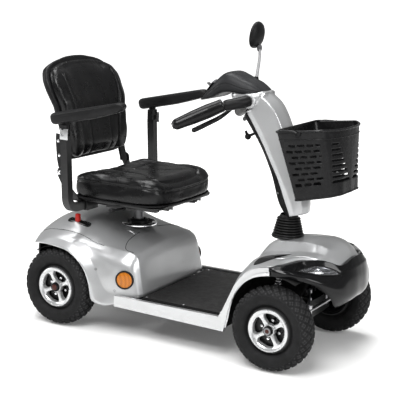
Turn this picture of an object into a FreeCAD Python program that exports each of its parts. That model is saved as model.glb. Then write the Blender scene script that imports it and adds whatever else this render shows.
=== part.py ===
import FreeCAD, Part
import os
import math
import Sketcher
from FreeCAD import Vector, Placement, Rotation

# Four-wheel mobility scooter.  X forward, Y to the rider's left, Z up, millimetres.
# Origin: on the ground, at the middle of the overall length and width.
os.makedirs("parts", exist_ok=True)
doc = FreeCAD.newDocument("mobility_scooter")

# ------------------------------------------------------------------ driving dimensions
DIMENSIONS = dict(
    # wheels and axles
    wheel_radius=144, tyre_width=92, rim_seat=78, rim_radius=77.5, track_half=248,
    rear_axle_x=-452, front_axle_x=408, axle_radius=12.5, axle_bore=12.55,
    # steering
    kingpin_y=170, kingpin_radius=9, kingpin_bore=9.05, arm_length=90,
    column_x=331, column_radius=15, column_bore=15.05,
    pivot_z=430, pivot_radius=6, pivot_bore=6.05, bar_radius=11,
    # deck and covers
    deck_height=148, mat_thickness=4, deck_half=248, pan_thickness=20,
    shell=4, reflector_radius=30, ring_radius=60, boot_base=57, boot_top=37, basket_half=163,
    # seat
    seat_x=-283, post_radius=19, post_bore=19.05, post_top=425,
    swivel_radius=12, swivel_bore=12.05, rail_y=110,
    arm_y=285, arm_tube=28, arm_pivot_x=-412, arm_pivot_z=728, pad_width=54,
    back_x=-485, back_z=553, back_pin=6, back_bore=6.05, cushion_half=228, back_half=203,
)


class Length:
    """A length that keeps both its value and the sheet expression that gives it."""

    def __init__(self, expression, value):
        self.expression, self.value = expression, float(value)

    def __add__(self, other):
        other = as_length(other)
        return Length("(%s + %s)" % (self.expression, other.expression), self.value + other.value)

    def __sub__(self, other):
        other = as_length(other)
        return Length("(%s - %s)" % (self.expression, other.expression), self.value - other.value)

    def __mul__(self, factor):
        return Length("(%s * %g)" % (self.expression, factor), self.value * factor)

    def __neg__(self):
        return Length("(0 - %s)" % self.expression, -self.value)


def as_length(number):
    if isinstance(number, Length):
        return number
    return Length(("%.4f" % number) if number >= 0 else "(0 - %.4f)" % -number, number)


class Dimensions:
    """The sheet's cells, one Length for each alias."""


sheet = doc.addObject("Spreadsheet::Sheet", "Params")
dim = Dimensions()
for row, (key, number) in enumerate(DIMENSIONS.items(), start=1):
    sheet.set("A%d" % row, key)
    sheet.set("B%d" % row, "%g" % number)
    sheet.setAlias("B%d" % row, key)
    setattr(dim, key, Length("Params.%s" % key, number))
doc.recompute()

SIDES = (1, -1)  # left, right
ALONG_X, ALONG_Y, ALONG_Z = (1, 0, 0), (0, 1, 0), (0, 0, 1)
NODES = {}


def publish(name, obj):
    """Label an object and list it for export."""
    obj.Label = name
    NODES[name] = obj
    return obj


def bind(obj, prop, length):
    length = as_length(length)
    setattr(obj, prop, length.value)
    obj.setExpression(prop, length.expression)


def place_at(obj, point, rotation):
    point = [as_length(a) for a in point]
    obj.Placement = Placement(Vector(*[a.value for a in point]), rotation)
    for axis, length in zip("xyz", point):
        obj.setExpression("Placement.Base." + axis, length.expression)


def span(side, near, far):
    """Ordered Y limits of something between near and far from the middle plane."""
    return (near, far) if side > 0 else (far * side, near * side)


# ------------------------------------------------------------------ bound primitives
def box(x0, x1, y0, y1, z0, z1):
    obj = doc.addObject("Part::Box", "Box")
    x0, x1, y0, y1, z0, z1 = [as_length(a) for a in (x0, x1, y0, y1, z0, z1)]
    bind(obj, "Length", x1 - x0)
    bind(obj, "Width", y1 - y0)
    bind(obj, "Height", z1 - z0)
    place_at(obj, (x0, y0, z0), Rotation())
    return obj


def box_pair(x0, x1, near, far, z0, z1):
    return [box(x0, x1, *span(side, near, far), z0, z1) for side in SIDES]


def cyl(point, direction, radius, height, label=None):
    """Cylinder from point along direction."""
    obj = doc.addObject("Part::Cylinder", "Cylinder")
    bind(obj, "Radius", radius)
    bind(obj, "Height", height)
    place_at(obj, point, Rotation(Vector(0, 0, 1), Vector(*direction)))
    return publish(label, obj) if label else obj


def fuse(objects, label=None):
    obj = doc.addObject("Part::MultiFuse", "Fusion")
    obj.Shapes = objects
    obj.Refine = True
    return publish(label, obj) if label else obj


def cut(base, tools, label):
    tool = tools[0] if len(tools) == 1 else fuse(tools)
    obj = doc.addObject("Part::Cut", "Cut")
    obj.Base, obj.Tool = base, tool
    obj.Refine = True
    return publish(label, obj)


def feature(label, shape):
    obj = doc.addObject("Part::Feature", label)
    obj.Shape = shape
    obj.Placement = Placement()
    return publish(label, obj)


# ------------------------------------------------------------------ PartDesign bodies
def sketch(body, role, points, offset=0.0, name="Profile"):
    """Closed polygon; every vertex coordinate taken from the sheet is tied to its cell."""
    sk = body.newObject("Sketcher::SketchObject", name)
    origin_plane = [f for f in body.Origin.OriginFeatures if f.Role == role][0]
    sk.AttachmentSupport = [(origin_plane, "")]
    sk.MapMode = "FlatFace"
    sk.AttachmentOffset = Placement(Vector(0, 0, offset), Rotation())
    points = [(as_length(a), as_length(b)) for a, b in points]
    count = len(points)
    for i in range(count):
        start, end = [Vector(a.value, b.value, 0) for a, b in (points[i], points[(i + 1) % count])]
        sk.addGeometry(Part.LineSegment(start, end), False)
    for i in range(count):
        sk.addConstraint(Sketcher.Constraint("Coincident", i, 2, (i + 1) % count, 1))
    for i, point in enumerate(points):
        for kind, length in zip(("DistanceX", "DistanceY"), point):
            if "Params" in length.expression and abs(length.value) > 1e-6:
                c = sk.addConstraint(Sketcher.Constraint(kind, -1, 1, i, 1, length.value))
                sk.setExpression("Constraints[%d]" % c, length.expression)
    return sk


def prism(role, points, thickness, offset, label=None, symmetric=True):
    """Polygon in an origin plane, padded; offset is along the plane's normal."""
    body = doc.addObject("PartDesign::Body", label or "Prism")
    sk = sketch(body, role, points, offset)
    pad = body.newObject("PartDesign::Pad", "Pad")
    pad.Profile = sk
    if symmetric:
        pad.SideType = "Symmetric"
    bind(pad, "Length", thickness)
    return publish(label, body) if label else body


def revolve(body, points):
    """Revolution of a (radius, height) profile about the body's Z axis."""
    sk = sketch(body, "XZ_Plane", points)
    revolution = body.newObject("PartDesign::Revolution", "Revolution")
    revolution.Profile = sk
    revolution.ReferenceAxis = (sk, ["V_Axis"])
    revolution.Angle = 360
    return revolution


def turned(label, points, placement):
    body = doc.addObject("PartDesign::Body", label)
    revolve(body, points)
    body.Placement = placement
    return publish(label, body)


# ------------------------------------------------------------------ swept tubes
def bend_path(points, bend_radius):
    """Polyline with its corners rounded by arcs, as a wire."""
    points = [Vector(*p) for p in points]
    edges, current = [], points[0]
    for before, corner, after in zip(points, points[1:], points[2:]):
        u = before.sub(corner).normalize()
        w = after.sub(corner).normalize()
        angle = math.acos(max(-1, min(1, u.dot(w))))
        setback = bend_radius / math.tan(angle / 2)
        start, end = corner + u * setback, corner + w * setback
        bisector = (u + w).normalize()
        middle = corner + bisector * (bend_radius / math.sin(angle / 2) - bend_radius)
        edges.append(Part.makeLine(current, start))
        edges.append(Part.Arc(start, middle, end).toShape())
        current = end
    edges.append(Part.makeLine(current, points[-1]))
    return Part.Wire(edges)


def swept(points, bend_radius, radius, square=False, round_ends=False):
    """Bent bar; radius is half the side where the section is square."""
    path = bend_path(points, bend_radius)
    start = Vector(*points[0])
    heading = Vector(*points[1]).sub(start).normalize()
    if square:
        side = Vector(0, 1, 0) if abs(heading.y) < 0.9 else Vector(1, 0, 0)
        normal = heading.cross(side).normalize()
        side = normal.cross(heading).normalize()
        signs = ((1, 1), (-1, 1), (-1, -1), (1, -1), (1, 1))
        corners = [start + side * (a * radius) + normal * (b * radius) for a, b in signs]
        section = Part.makePolygon(corners)
    else:
        section = Part.Wire([Part.makeCircle(radius, start, heading)])
    shape = path.makePipeShell([section], True, False)
    shape = shape if shape.ShapeType == "Solid" else Part.Solid(shape)
    if round_ends:
        shape = shape.fuse(Part.makeSphere(radius, start))
        shape = shape.fuse(Part.makeSphere(radius, Vector(*points[-1])))
    return shape.removeSplitter()


# ------------------------------------------------------------------ plain shapes
def grow_outline(points, grow):
    """Offset a closed polygon outwards by grow, corner by corner."""
    if not grow:
        return points
    following = points[1:] + points[:1]
    area = sum(a[0] * b[1] - b[0] * a[1] for a, b in zip(points, following))
    sign = 1.0 if area > 0 else -1.0

    def edge_normal(p, q):
        length = math.hypot(q[0] - p[0], q[1] - p[1])
        return sign * (q[1] - p[1]) / length, -sign * (q[0] - p[0]) / length

    grown = []
    for i, corner in enumerate(points):
        n1 = edge_normal(points[i - 1], corner)
        n2 = edge_normal(corner, following[i])
        # the floor keeps very sharp corners from running away
        k = max(1.0 + n1[0] * n2[0] + n1[1] * n2[1], 0.25)
        grown.append((corner[0] + grow * (n1[0] + n2[0]) / k,
                      corner[1] + grow * (n1[1] + n2[1]) / k))
    return grown


def extruded(corners, travel):
    return Part.Face(Part.makePolygon(corners + corners[:1])).extrude(travel)


def slab_xz(points, y0, y1, grow=0.0):
    """(x, z) outline extruded from y0 to y1; grow moves the outline outwards."""
    return extruded([Vector(x, y0, z) for x, z in grow_outline(points, grow)],
                    Vector(0, y1 - y0, 0))


def slab_xy(points, z0, z1, grow=0.0):
    return extruded([Vector(x, y, z0) for x, y in grow_outline(points, grow)],
                    Vector(0, 0, z1 - z0))


def slab_yz(points, x0, x1, grow=0.0):
    return extruded([Vector(x0, y, z) for y, z in grow_outline(points, grow)],
                    Vector(x1 - x0, 0, 0))


def block(x0, x1, y0, y1, z0, z1):
    return Part.makeBox(x1 - x0, y1 - y0, z1 - z0, Vector(x0, y0, z0))


def cyl_y(radius, length, x, y, z, side=1):
    """Plain cylinder from (x, y, z) towards side * Y."""
    return Part.makeCylinder(radius, length, Vector(x, y, z), Vector(0, side, 0))


def mirror_second(half):
    """Close a half outline by repeating it backwards with the second coordinate negated."""
    return half + [(a, -b) for a, b in reversed(half)]


def mirror_first(half):
    return half + [(-a, b) for a, b in reversed(half)]


def mirrored(shape):
    return shape.mirror(Vector(0, 0, 0), Vector(0, 1, 0))


def pair(shape):
    return Part.makeCompound([shape, mirrored(shape)])


def largest(shape):
    return max(shape.Solids, key=lambda solid: solid.Volume)


rear_x, front_x, hub_z = dim.rear_axle_x, dim.front_axle_x, dim.wheel_radius
rear_axle, front_axle = rear_x.value, front_x.value
wheel_r = dim.wheel_radius.value
wall = dim.shell.value

# ================================================================== wheels
TYRE_BEAD_HALF = 36
WINDOW_DEPTH = 60
# (x, y) outline of one window in the wheel face
RIM_WINDOW = [(31, -9), (36, -17), (47, -22), (58, -20), (62, -6),
              (61, 10), (54, 18), (42, 15), (33, 4)]


def wheel_placement(x, side, angle):
    centre = Vector(x.value, side * dim.track_half.value, wheel_r)
    return Placement(centre, Rotation(Vector(1, 0, 0), angle))


def tyre(name, x, side):
    r, w = dim.wheel_radius, dim.tyre_width * 0.5
    half = [(dim.rim_seat, -TYRE_BEAD_HALF), (r - 54, -w + 4), (r - 32, -w),
            (r - 12, -w + 4), (r - 4, -w + 14), (r, -w + 32)]
    turned(name, mirror_second(half), wheel_placement(x, side, -90))


def rim(name, x, side):
    """Barrel with lips, dished face with four windows, bored hub; +Z of the body is outboard."""
    r, bore = dim.rim_radius, dim.axle_bore
    profile = [(bore, -34), (24, -34), (24, 18), (r - 10, 24), (r - 10, -30), (r - 4, -38),
               (r, -38), (r, 38), (r - 3, 41), (r - 10, 41), (r - 16, 34),
               (30, 30), (26, 40), (bore, 40)]
    body = doc.addObject("PartDesign::Body", name)
    revolution = revolve(body, profile)
    doc.recompute()
    blank_volume = revolution.Shape.Volume
    window = sketch(body, "XY_Plane", RIM_WINDOW, WINDOW_DEPTH, "Window")
    pocket = body.newObject("PartDesign::Pocket", "WindowPocket")
    pocket.Profile = window
    pocket.Type = "Length"
    pocket.Length = WINDOW_DEPTH
    doc.recompute()
    # turn the pocket round if it ran away from the wheel
    if pocket.Shape.Volume > blank_volume - 10:
        pocket.Reversed = True
        doc.recompute()
    pattern = body.newObject("PartDesign::PolarPattern", "Windows")
    pattern.Originals = [pocket]
    pattern.Axis = (window, ["N_Axis"])
    pattern.Angle = 360
    pattern.Occurrences = 4
    body.Tip = pattern
    doc.recompute()
    assert pattern.Shape.Volume < blank_volume - 1000, "wheel windows missing"
    body.Placement = wheel_placement(x, side, -90 * side)
    publish(name, body)


for end, axle_x in (("rear", rear_x), ("front", front_x)):
    for hand, side in (("left", 1), ("right", -1)):
        tyre("%s_tyre_%s" % (end, hand), axle_x, side)
        rim("%s_rim_%s" % (end, hand), axle_x, side)

# rear half shafts, from outside the wheel centre in to the gear housing
SHAFT_OVERHANG, SHAFT_INNER_Y = 44, 46
for hand, side in (("left", 1), ("right", -1)):
    outer_y = dim.track_half + SHAFT_OVERHANG
    cyl((rear_x, outer_y * side, hub_z), (0, -side, 0), dim.axle_radius,
        outer_y - SHAFT_INNER_Y, "half_shaft_" + hand)

# ================================================================== front steering
STUB_OVERHANG = 46
ARM_Z, ARM_THICKNESS, EYE_RADIUS, STUD_RADIUS = 180, 9, 11, 5
TRACK_ROD_Z, DRAG_LINK_Z = 197, 213


def knuckle(name, side):
    """Kingpin, wheel stub and forward steering arm; the right stud also takes the drag link."""
    y = dim.kingpin_y * side
    arm_end = front_x + dim.arm_length
    arm_top = ARM_Z + ARM_THICKNESS
    fuse([
        cyl((front_x, y, 108), ALONG_Z, dim.kingpin_radius, 104),
        cyl((front_x, y, 126), ALONG_Z, 16, 36),
        cyl((front_x, y, hub_z), (0, side, 0), dim.axle_radius,
            dim.track_half + STUB_OVERHANG - dim.kingpin_y),
        box(front_x, arm_end, y - 8, y + 8, ARM_Z, arm_top),
        cyl((front_x, y, ARM_Z - 1), ALONG_Z, 15, 11),
        cyl((arm_end, y, ARM_Z), ALONG_Z, EYE_RADIUS, ARM_THICKNESS),
        cyl((arm_end, y, arm_top), ALONG_Z, STUD_RADIUS, 16 if side > 0 else 32),
    ], name)


def rod(start, end, z):
    """Rod between two (x, y) points with a bored eye at each end."""
    a, b = Vector(*start, z), Vector(*end, z)
    direction = b.sub(a)
    shape = Part.makeCylinder(6, direction.Length, a, direction)
    for centre in (a, b):
        shape = shape.fuse(Part.makeCylinder(EYE_RADIUS, 12, centre - Vector(0, 0, 6)))
    for centre in (a, b):
        shape = shape.cut(Part.makeCylinder(STUD_RADIUS + 0.05, 20, centre - Vector(0, 0, 10)))
    return shape.removeSplitter()


knuckle("knuckle_left", 1)
knuckle("knuckle_right", -1)

arm_end_x = (front_x + dim.arm_length).value
kingpin_y = dim.kingpin_y.value
pitman_end_x = (dim.column_x + dim.arm_length).value
feature("steering_rods", Part.makeCompound([
    rod((arm_end_x, -kingpin_y), (arm_end_x, kingpin_y), TRACK_ROD_Z),
    rod((pitman_end_x, 0), (arm_end_x, -kingpin_y), DRAG_LINK_Z)]))

# column with the pitman arm at its foot and a pivot fork at its top
col_x = dim.column_x
column_x = col_x.value
pitman_end = col_x + dim.arm_length
FORK_EAR = [(col_x - 14, 400), (col_x + 14, 400), (col_x + 14, 438),
            (col_x + 6, 444), (col_x - 6, 444), (col_x - 14, 438)]
fuse([
    cyl((col_x, 0, 172), ALONG_Z, dim.column_radius, 236),
    cyl((col_x, 0, 172), ALONG_Z, 22, 20),
    box(col_x, pitman_end, -9, 9, 180, 190),
    cyl((pitman_end, 0, 180), ALONG_Z, EYE_RADIUS, 10),
    cyl((pitman_end, 0, 190), ALONG_Z, STUD_RADIUS, 31),
    cyl((col_x, 0, 392), ALONG_Z, 24, 14),
    prism("XZ_Plane", FORK_EAR, 7, -15.5),
    prism("XZ_Plane", FORK_EAR, 7, 15.5),
    cyl((col_x, -22, dim.pivot_z), ALONG_Y, dim.pivot_radius, 44),
    cyl((col_x, -24, dim.pivot_z), ALONG_Y, 9, 4),
], "steering_column")

# ================================================================== main frame
frame = box_pair(-520, front_x - 12, 66, 92, 92, 124)  # long rails
frame += [  # cross members
    box(-500, -478, -92, 92, 96, 120),
    box(-120, -90, -215, 215, 96, 120),
    box(170, 196, -200, 200, 96, 120),
]
frame += box_pair(-120, 196, 196, 215, 96, 120)  # deck side rails
frame += [
    box(front_x - 20, front_x + 20, -136, 136, 112, 174),  # front axle beam
    box(-330, -236, -92, 92, 96, 112),
    cyl((dim.seat_x, 0, 96), ALONG_Z, 26, 222),  # seat post tube
]
frame += box_pair(-288, -278, 20, 92, 108, 180)  # plates beside the post tube
frame += [
    # webs and cross plate behind the column tube
    box(285, 307, -22, 22, 100, 320),
    box(300, 318, -22, 22, 198, 320),
    box(200, 300, -92, 92, 96, 112),
    cyl((col_x, 0, 198), ALONG_Z, 25, 130),  # column tube
    # tail bracket
    box(-600, -512, -30, 30, 150, 168),
    box(-520, -500, -30, 30, 104, 168),
]
frame += box_pair(-300, -262, 60, 92, 72, 92)  # blocks under the long rails
for side in SIDES:  # kingpin forks
    for z in (112, 164):
        frame.append(box(front_x - 18, front_x + 18, *span(side, 126, 176), z, z + 12))
        frame.append(cyl((front_x, dim.kingpin_y * side, z), ALONG_Z, 18, 12))
frame_solid = fuse(frame)
bores = [cyl((dim.seat_x, 0, 110), ALONG_Z, dim.post_bore, 300),
         cyl((col_x, 0, 150), ALONG_Z, dim.column_bore, 300)]
bores += [cyl((front_x, dim.kingpin_y * side, 100), ALONG_Z, dim.kingpin_bore, 100)
          for side in SIDES]
cut(frame_solid, bores, "main_frame")

# transaxle: gear housing with two axle tubes; the motor lies in front of it
housing = fuse([box(rear_x - 42, rear_x + 42, -58, 58, 128, 196),
                cyl((rear_x, -182, hub_z), ALONG_Y, 20, 364)])
cut(housing, [cyl((rear_x, y, hub_z), ALONG_Y, dim.axle_bore, 160) for y in (-200, 40)],
    "transaxle")
cyl((rear_x + 43, 0, 166), ALONG_X, 36, 78, "drive_motor")
feature("battery_packs", Part.makeCompound(
    [block(-252, -152, *span(side, 28, 198), 125, 265) for side in (-1, 1)]))

# ================================================================== deck
deck_z = dim.deck_height.value
prism("XY_Plane", mirror_second([(-112, -236), (212, -236)]), dim.pan_thickness,
      deck_z - dim.pan_thickness.value, "deck_pan", symmetric=False)
prism("XY_Plane", mirror_second([(-110, -230), (209, -230)]), dim.mat_thickness,
      deck_z, "floor_mat", symmetric=False)

# (x, z) of the strip beside the deck that climbs at the front
SILL = [(-206, 112), (-206, 151), (214, 153), (228, 178), (244, 214), (268, 268), (288, 298),
        (311, 321), (334, 336), (360, 346), (393, 352), (395, 338), (364, 331), (341, 322),
        (318, 307), (300, 288), (282, 262), (264, 226), (250, 180), (240, 130), (234, 104)]
feature("sill_trims", pair(slab_xz(SILL, 257, 272)))

# ================================================================== rear shroud
seat_x = dim.seat_x.value
LINER_HALF = 250  # half width of the straight lower walls
REFLECTOR_X, REFLECTOR_Z = -179, 207
# (x, z) side view
SHROUD_SIDE = [(-118, 128), (-121, 156), (-133, 230), (-141, 285), (-156, 312), (-221, 332),
               (-283, 346), (-350, 372), (-430, 392), (-490, 388), (-530, 368), (-560, 340),
               (-580, 300), (-588, 250), (-586, 196), (-560, 190), (-430, 128)]
# (y, z) sections ahead of and behind x = -300
SHROUD_FRONT = mirror_first([(-250, 100), (-250, 150), (-244, 210), (-228, 262), (-205, 300),
                             (-160, 336), (-100, 372), (-60, 420)])
SHROUD_REAR = mirror_first([(-250, 100), (-250, 240), (-240, 290), (-215, 330),
                            (-160, 372), (-80, 404)])
# (x, z) limit of the wheel flares, and the skirts below them
FLARE_LIMIT = [(-600, 235), (-452, 144), (-262, 118), (-180, 118), (-200, 480), (-600, 480)]
SKIRT = [(-306, 118), (-212, 118), (-210, 152), (-178, 154), (-176, 230), (-230, 300),
         (-306, 300)]


def wheel_arch(x, clearance, y, side):
    return cyl_y(wheel_r + clearance, 200, x, side * y, wheel_r, side)


def shroud_body(grow):
    front = slab_yz(SHROUD_FRONT, -300, 0, grow)
    rear = slab_yz(SHROUD_REAR, -700, -300, grow)
    return slab_xz(SHROUD_SIDE, -300, 300, grow).common(front.fuse(rear))


def rear_shroud():
    outer = shroud_body(0)
    for side in SIDES:
        flare = cyl_y(wheel_r + 26, 100, rear_axle, side * 190, wheel_r, side)
        flare = flare.common(block(-600, -80, *span(side, 185, 295), 100, 500))
        outer = outer.fuse(flare.common(slab_xz(FLARE_LIMIT, -300, 300)))
        outer = outer.fuse(slab_xz(SKIRT, *span(side, 200, 262)))
    inner = shroud_body(-wall)
    # the lowered copy and the block open the underside
    inner = inner.fuse(inner.translated(Vector(0, 0, -8)))
    front, half = -118 - wall, LINER_HALF - wall
    inner = inner.fuse(block(front - 430, front, -half, half, 80, 140))
    for side in SIDES:
        inner = inner.cut(wheel_arch(rear_axle, 15, 190, side))
    shell = outer.cut(inner)
    for side in SIDES:
        shell = shell.cut(wheel_arch(rear_axle, 11, 194, side))
    shell = shell.cut(block(rear_axle - 60, rear_axle + 200, -350, 350, 60, 120))
    # holes for the seat post, freewheel lever, axle, seat collar and reflectors
    shell = shell.cut(Part.makeCylinder(38, 200, Vector(seat_x, 0, 250)))
    shell = shell.cut(block(-472, -388, -175, -165, 250, 450))
    shell = shell.cut(cyl_y(30, 700, rear_axle, -350, wheel_r))
    shell = shell.cut(Part.makeCylinder(dim.ring_radius.value + 0.5, 100,
                                        Vector(seat_x, 0, 349.5)))
    for side in (-1, 1):
        shell = shell.cut(cyl_y(dim.reflector_radius.value + 1.5, 60,
                                REFLECTOR_X, side * 300, REFLECTOR_Z, -side))
    return largest(shell).removeSplitter()


feature("rear_shroud", rear_shroud())

BUMPER_PLAN = mirror_second([(-561, 214), (-584, 206), (-600, 170), (-610, 110)])  # (x, y)
bumper = slab_xy(BUMPER_PLAN, 196, 296)
bumper = bumper.cut(shroud_body(0.5)).cut(block(-586.5, -286.5, -300, 300, 150, 350))
for side in SIDES:
    bumper = bumper.cut(block(-640, -600, *span(side, 100, 170), 240, 274))  # lamp recess
    bumper = bumper.cut(wheel_arch(rear_axle, 27, 184, side))
feature("rear_bumper", largest(bumper).removeSplitter())
feature("tail_lamps", pair(largest(block(-603, -589, 101, 169, 241, 273).cut(bumper))))

reflector = cyl_y(dim.reflector_radius.value, 14, REFLECTOR_X, 250, REFLECTOR_Z)
outer_edges = [e for e in reflector.Edges if abs(e.CenterOfMass.y - 264) < 0.1]
feature("side_reflectors", pair(reflector.makeFillet(3, outer_edges)))

turned("seat_collar",
       [(39, 338), (dim.ring_radius, 338), (dim.ring_radius, 348), (56, 356), (44, 360),
        (37, 356), (25, 352), (21, 352), (21, 346), (36, 346)],
       Placement(Vector(seat_x, 0, 12), Rotation()))

# ================================================================== front cowl and nose
# (x, z) side view
COWL_SIDE = [(216, 154), (236, 250), (252, 322), (268, 356), (290, 378), (388, 398),
             (432, 412), (506, 412), (550, 397), (582, 368), (601, 328), (610, 285),
             (608, 240), (588, 205), (560, 186), (536, 186), (524, 150), (214, 150)]
# (x, y) plan
COWL_PLAN = mirror_second([(216, 235), (300, 250), (408, 254), (480, 244), (540, 205),
                           (588, 140), (614, 60)])
# (y, z) section
COWL_SECTION = mirror_first([(-262, 100), (-262, 300), (-250, 340), (-200, 368),
                             (-120, 388), (-60, 420)])
# (x, z) of the region that becomes the nose bumper
NOSE_REGION = [(640, 450), (590, 402), (560, 390), (520, 372), (470, 352), (425, 322),
               (425, 60), (700, 60)]
# (x, z) of the headlamp lens and of its opening
LENS = [(482, 318), (500, 336), (524, 344), (560, 340), (592, 330), (560, 316), (530, 310)]
LENS_OPENING = [(480, 316), (500, 338), (524, 346), (560, 342), (596, 330), (560, 314),
                (530, 308)]


def cowl_body(grow):
    side_view = slab_xz(COWL_SIDE, -300, 300, grow)
    plan = slab_xy(COWL_PLAN, 90, 450, grow)
    return side_view.common(plan).common(slab_yz(COWL_SECTION, 150, 650, grow))


def cowl_shell():
    """Whole front shell, with wheel wells and underside openings."""
    outer, inner = cowl_body(0), cowl_body(-wall)
    for side in SIDES:
        inner = inner.cut(wheel_arch(front_axle, 34 + wall, 118, side))
    shell = outer.cut(inner)
    for side in SIDES:
        shell = shell.cut(wheel_arch(front_axle, 34, 122, side))
        shell = shell.cut(block(front_axle - 179, front_axle + 181,
                                *span(side, 122, 322), 20, 150))
    shell = shell.cut(Part.makeCylinder(34, 200, Vector(column_x, 0, 330)))
    shell = shell.cut(block(front_axle - 30, front_axle + 30, -200, 200, 100, 220))
    shell = shell.cut(block(420, 522, -200, 200, 171, 227))
    return shell.cut(block(219, 521, -230, 230, 80, 160))


cowl = cowl_shell()
feature("front_cowl",
        largest(cowl.cut(slab_xz(NOSE_REGION, -320, 320, 1.0))).removeSplitter())
nose = largest(cowl.common(slab_xz(NOSE_REGION, -320, 320)))
lens = cowl.common(slab_xz(LENS, 150, 300))
opening = slab_xz(LENS_OPENING, 150, 300)
nose = largest(nose.cut(opening).cut(mirrored(opening)))
feature("nose_bumper", nose.removeSplitter())
feature("headlamp_lenses", pair(largest(lens)))

# ================================================================== boot (bellows)
BOOT_BOTTOM, BOOT_TOP_Z, BOOT_RIBS, BOOT_WALL = 400.0, 455.0, 6, 5.5


def bellows_profile():
    """(radius, z): ridges and grooves on a taper, closed by the same line moved inwards."""
    base, top = dim.boot_base.value, dim.boot_top.value
    outside = []
    for i in range(BOOT_RIBS * 2 + 1):
        f = i / (BOOT_RIBS * 2.0)
        ripple = 4 if i % 2 == 0 else -3
        outside.append((base + (top - base) * f + ripple,
                        BOOT_BOTTOM + (BOOT_TOP_Z - BOOT_BOTTOM) * f))
    return outside + [(r - BOOT_WALL, z) for r, z in reversed(outside)]


turned("boot", bellows_profile(), Placement(Vector(column_x, 0, 0), Rotation()))

# ================================================================== tiller
# (x, z) side view, up the rear edge and down the front edge
TILLER_SIDE = [(334, 468), (314, 490), (297, 523), (274, 597), (253, 646), (231, 689),
               (206, 728), (181, 767), (166, 800), (160, 832), (160, 858), (223, 873),
               (233, 884), (261, 861), (293, 823), (318, 784), (345, 700), (375, 610),
               (401, 517), (402, 488), (352, 473)]
# (y, z) front view
TILLER_FRONT = mirror_first([(-38, 460), (-46, 600), (-52, 760), (-60, 820), (-60, 900)])
# (x, z) of the region that becomes the rear cover
REAR_COVER = [(300, 440), (352, 440), (352, 473), (330, 530), (296, 612), (245, 710),
              (222, 748), (200, 784), (179, 817), (140, 817), (120, 700), (240, 560)]
BAR_X, BAR_Z = 186, 846
TILT_X, TILT_Z = 290, 600


def tiller_body(grow):
    side_view = slab_xz(TILLER_SIDE, -90, 90, grow)
    return side_view.common(slab_yz(TILLER_FRONT, 100, 460, grow))


tiller_outer = tiller_body(0)
tiller_shell = tiller_outer.cut(tiller_body(-wall)).cut(block(326, 370, -17, 17, 440, 500))
bar_hole = cyl_y(13, 200, BAR_X, -100, BAR_Z)
tilt_hole = cyl_y(5.2, 200, TILT_X, 20, TILT_Z)
front_cover = largest(tiller_shell.cut(slab_xz(REAR_COVER, -100, 100, 0.6)).cut(bar_hole))
rear_cover = largest(tiller_shell.common(slab_xz(REAR_COVER, -100, 100)))
feature("tiller_front_cover", front_cover.cut(tilt_hole).removeSplitter())

# frame: bent stem on the column pivot, with the handlebar across its top
pivot_z = dim.pivot_z.value
bar_r = dim.bar_radius.value
BAR_END, BAR_BEND = (-6, 236, 771), (121, 124, 842)  # straight part inside the left grip
stem = swept([(column_x, 0, pivot_z), (352, 0, 500), (232, 0, 770), (188, 0, BAR_Z)], 60, 13)


def tiller_frame():
    lug = cyl_y(13, 22, column_x, -11, pivot_z)
    left_half = [BAR_END, BAR_BEND, (BAR_X, 84, BAR_Z)]
    bar = swept(left_half + [(x, -y, z) for x, y, z in reversed(left_half)], 24, bar_r)
    shape = stem.fuse(lug).fuse(bar)
    # flatten the foot to fit between the fork ears
    cheeks = [block(column_x - 30, column_x + 30, *span(side, 11, 51), 405, 457)
              for side in SIDES]
    shape = shape.cut(cheeks[0].fuse(cheeks[1]))
    shape = shape.cut(block(column_x - 40, column_x + 40, -40, 40, 357, 417))
    shape = shape.cut(cyl_y(dim.pivot_bore.value, 60, column_x, -30, pivot_z))
    return largest(shape).removeSplitter()


def grip():
    """Tapered left grip with a ball end, bored for the bar."""
    end, bend = Vector(*BAR_END), Vector(*BAR_BEND)
    outward = end.sub(bend)
    outward.normalize()
    shape = Part.makeCone(20, 24, 104, end - outward * 128, outward)
    shape = shape.fuse(Part.makeSphere(24, end - outward * 24))
    shape = shape.cut(Part.makeCylinder(bar_r + 0.05, (end - bend).Length, bend, outward))
    return largest(shape)


feature("tiller_frame", tiller_frame())
feature("grips", pair(grip()))

# ------------------------------------------------------------------ console above the head
# (x, z) side view and (y, z) front view
CONSOLE_SIDE = [(-1, 842), (-8, 850), (11, 867), (49, 913), (72, 939), (99, 948),
                (131, 940), (159, 928), (190, 917), (230, 890), (223, 879), (161, 872),
                (102, 880), (78, 876), (52, 857)]
CONSOLE_FRONT = mirror_first([(-40, 820), (-70, 850), (-72, 880), (-66, 915), (-44, 955)])
FACE_NORMAL = Vector(-0.766, 0, 0.643)  # the rider's face leans back and up
DIAL_Y, KEY_Y, HORN_Y = 0, -34, 34
STALK_DEPTH = 16  # how far the controls' stalks start below the face
MIRROR_FOOT_X, MIRROR_FOOT_Y = 159, 46


def console_body(grow):
    side_view = slab_xz(CONSOLE_SIDE, -90, 90, grow)
    return side_view.common(slab_yz(CONSOLE_FRONT, -60, 300, grow))


def on_face(y, lift):
    return Vector(30, y, 890) + FACE_NORMAL * lift


def knob(y, stalk_radius, radius, height, lift):
    """Round knob with a filleted top, on a stalk through the face."""
    stalk = Part.makeCylinder(stalk_radius, 18 + lift, on_face(y, -STALK_DEPTH), FACE_NORMAL)
    head = Part.makeCylinder(radius, height, on_face(y, lift), FACE_NORMAL)
    top = on_face(y, lift + height)
    rim_edges = [e for e in head.Edges if (e.CenterOfMass - top).Length < 0.2]
    head = head.makeFillet(min(2.0, height / 3), rim_edges)
    return stalk.fuse(head).removeSplitter()


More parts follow.
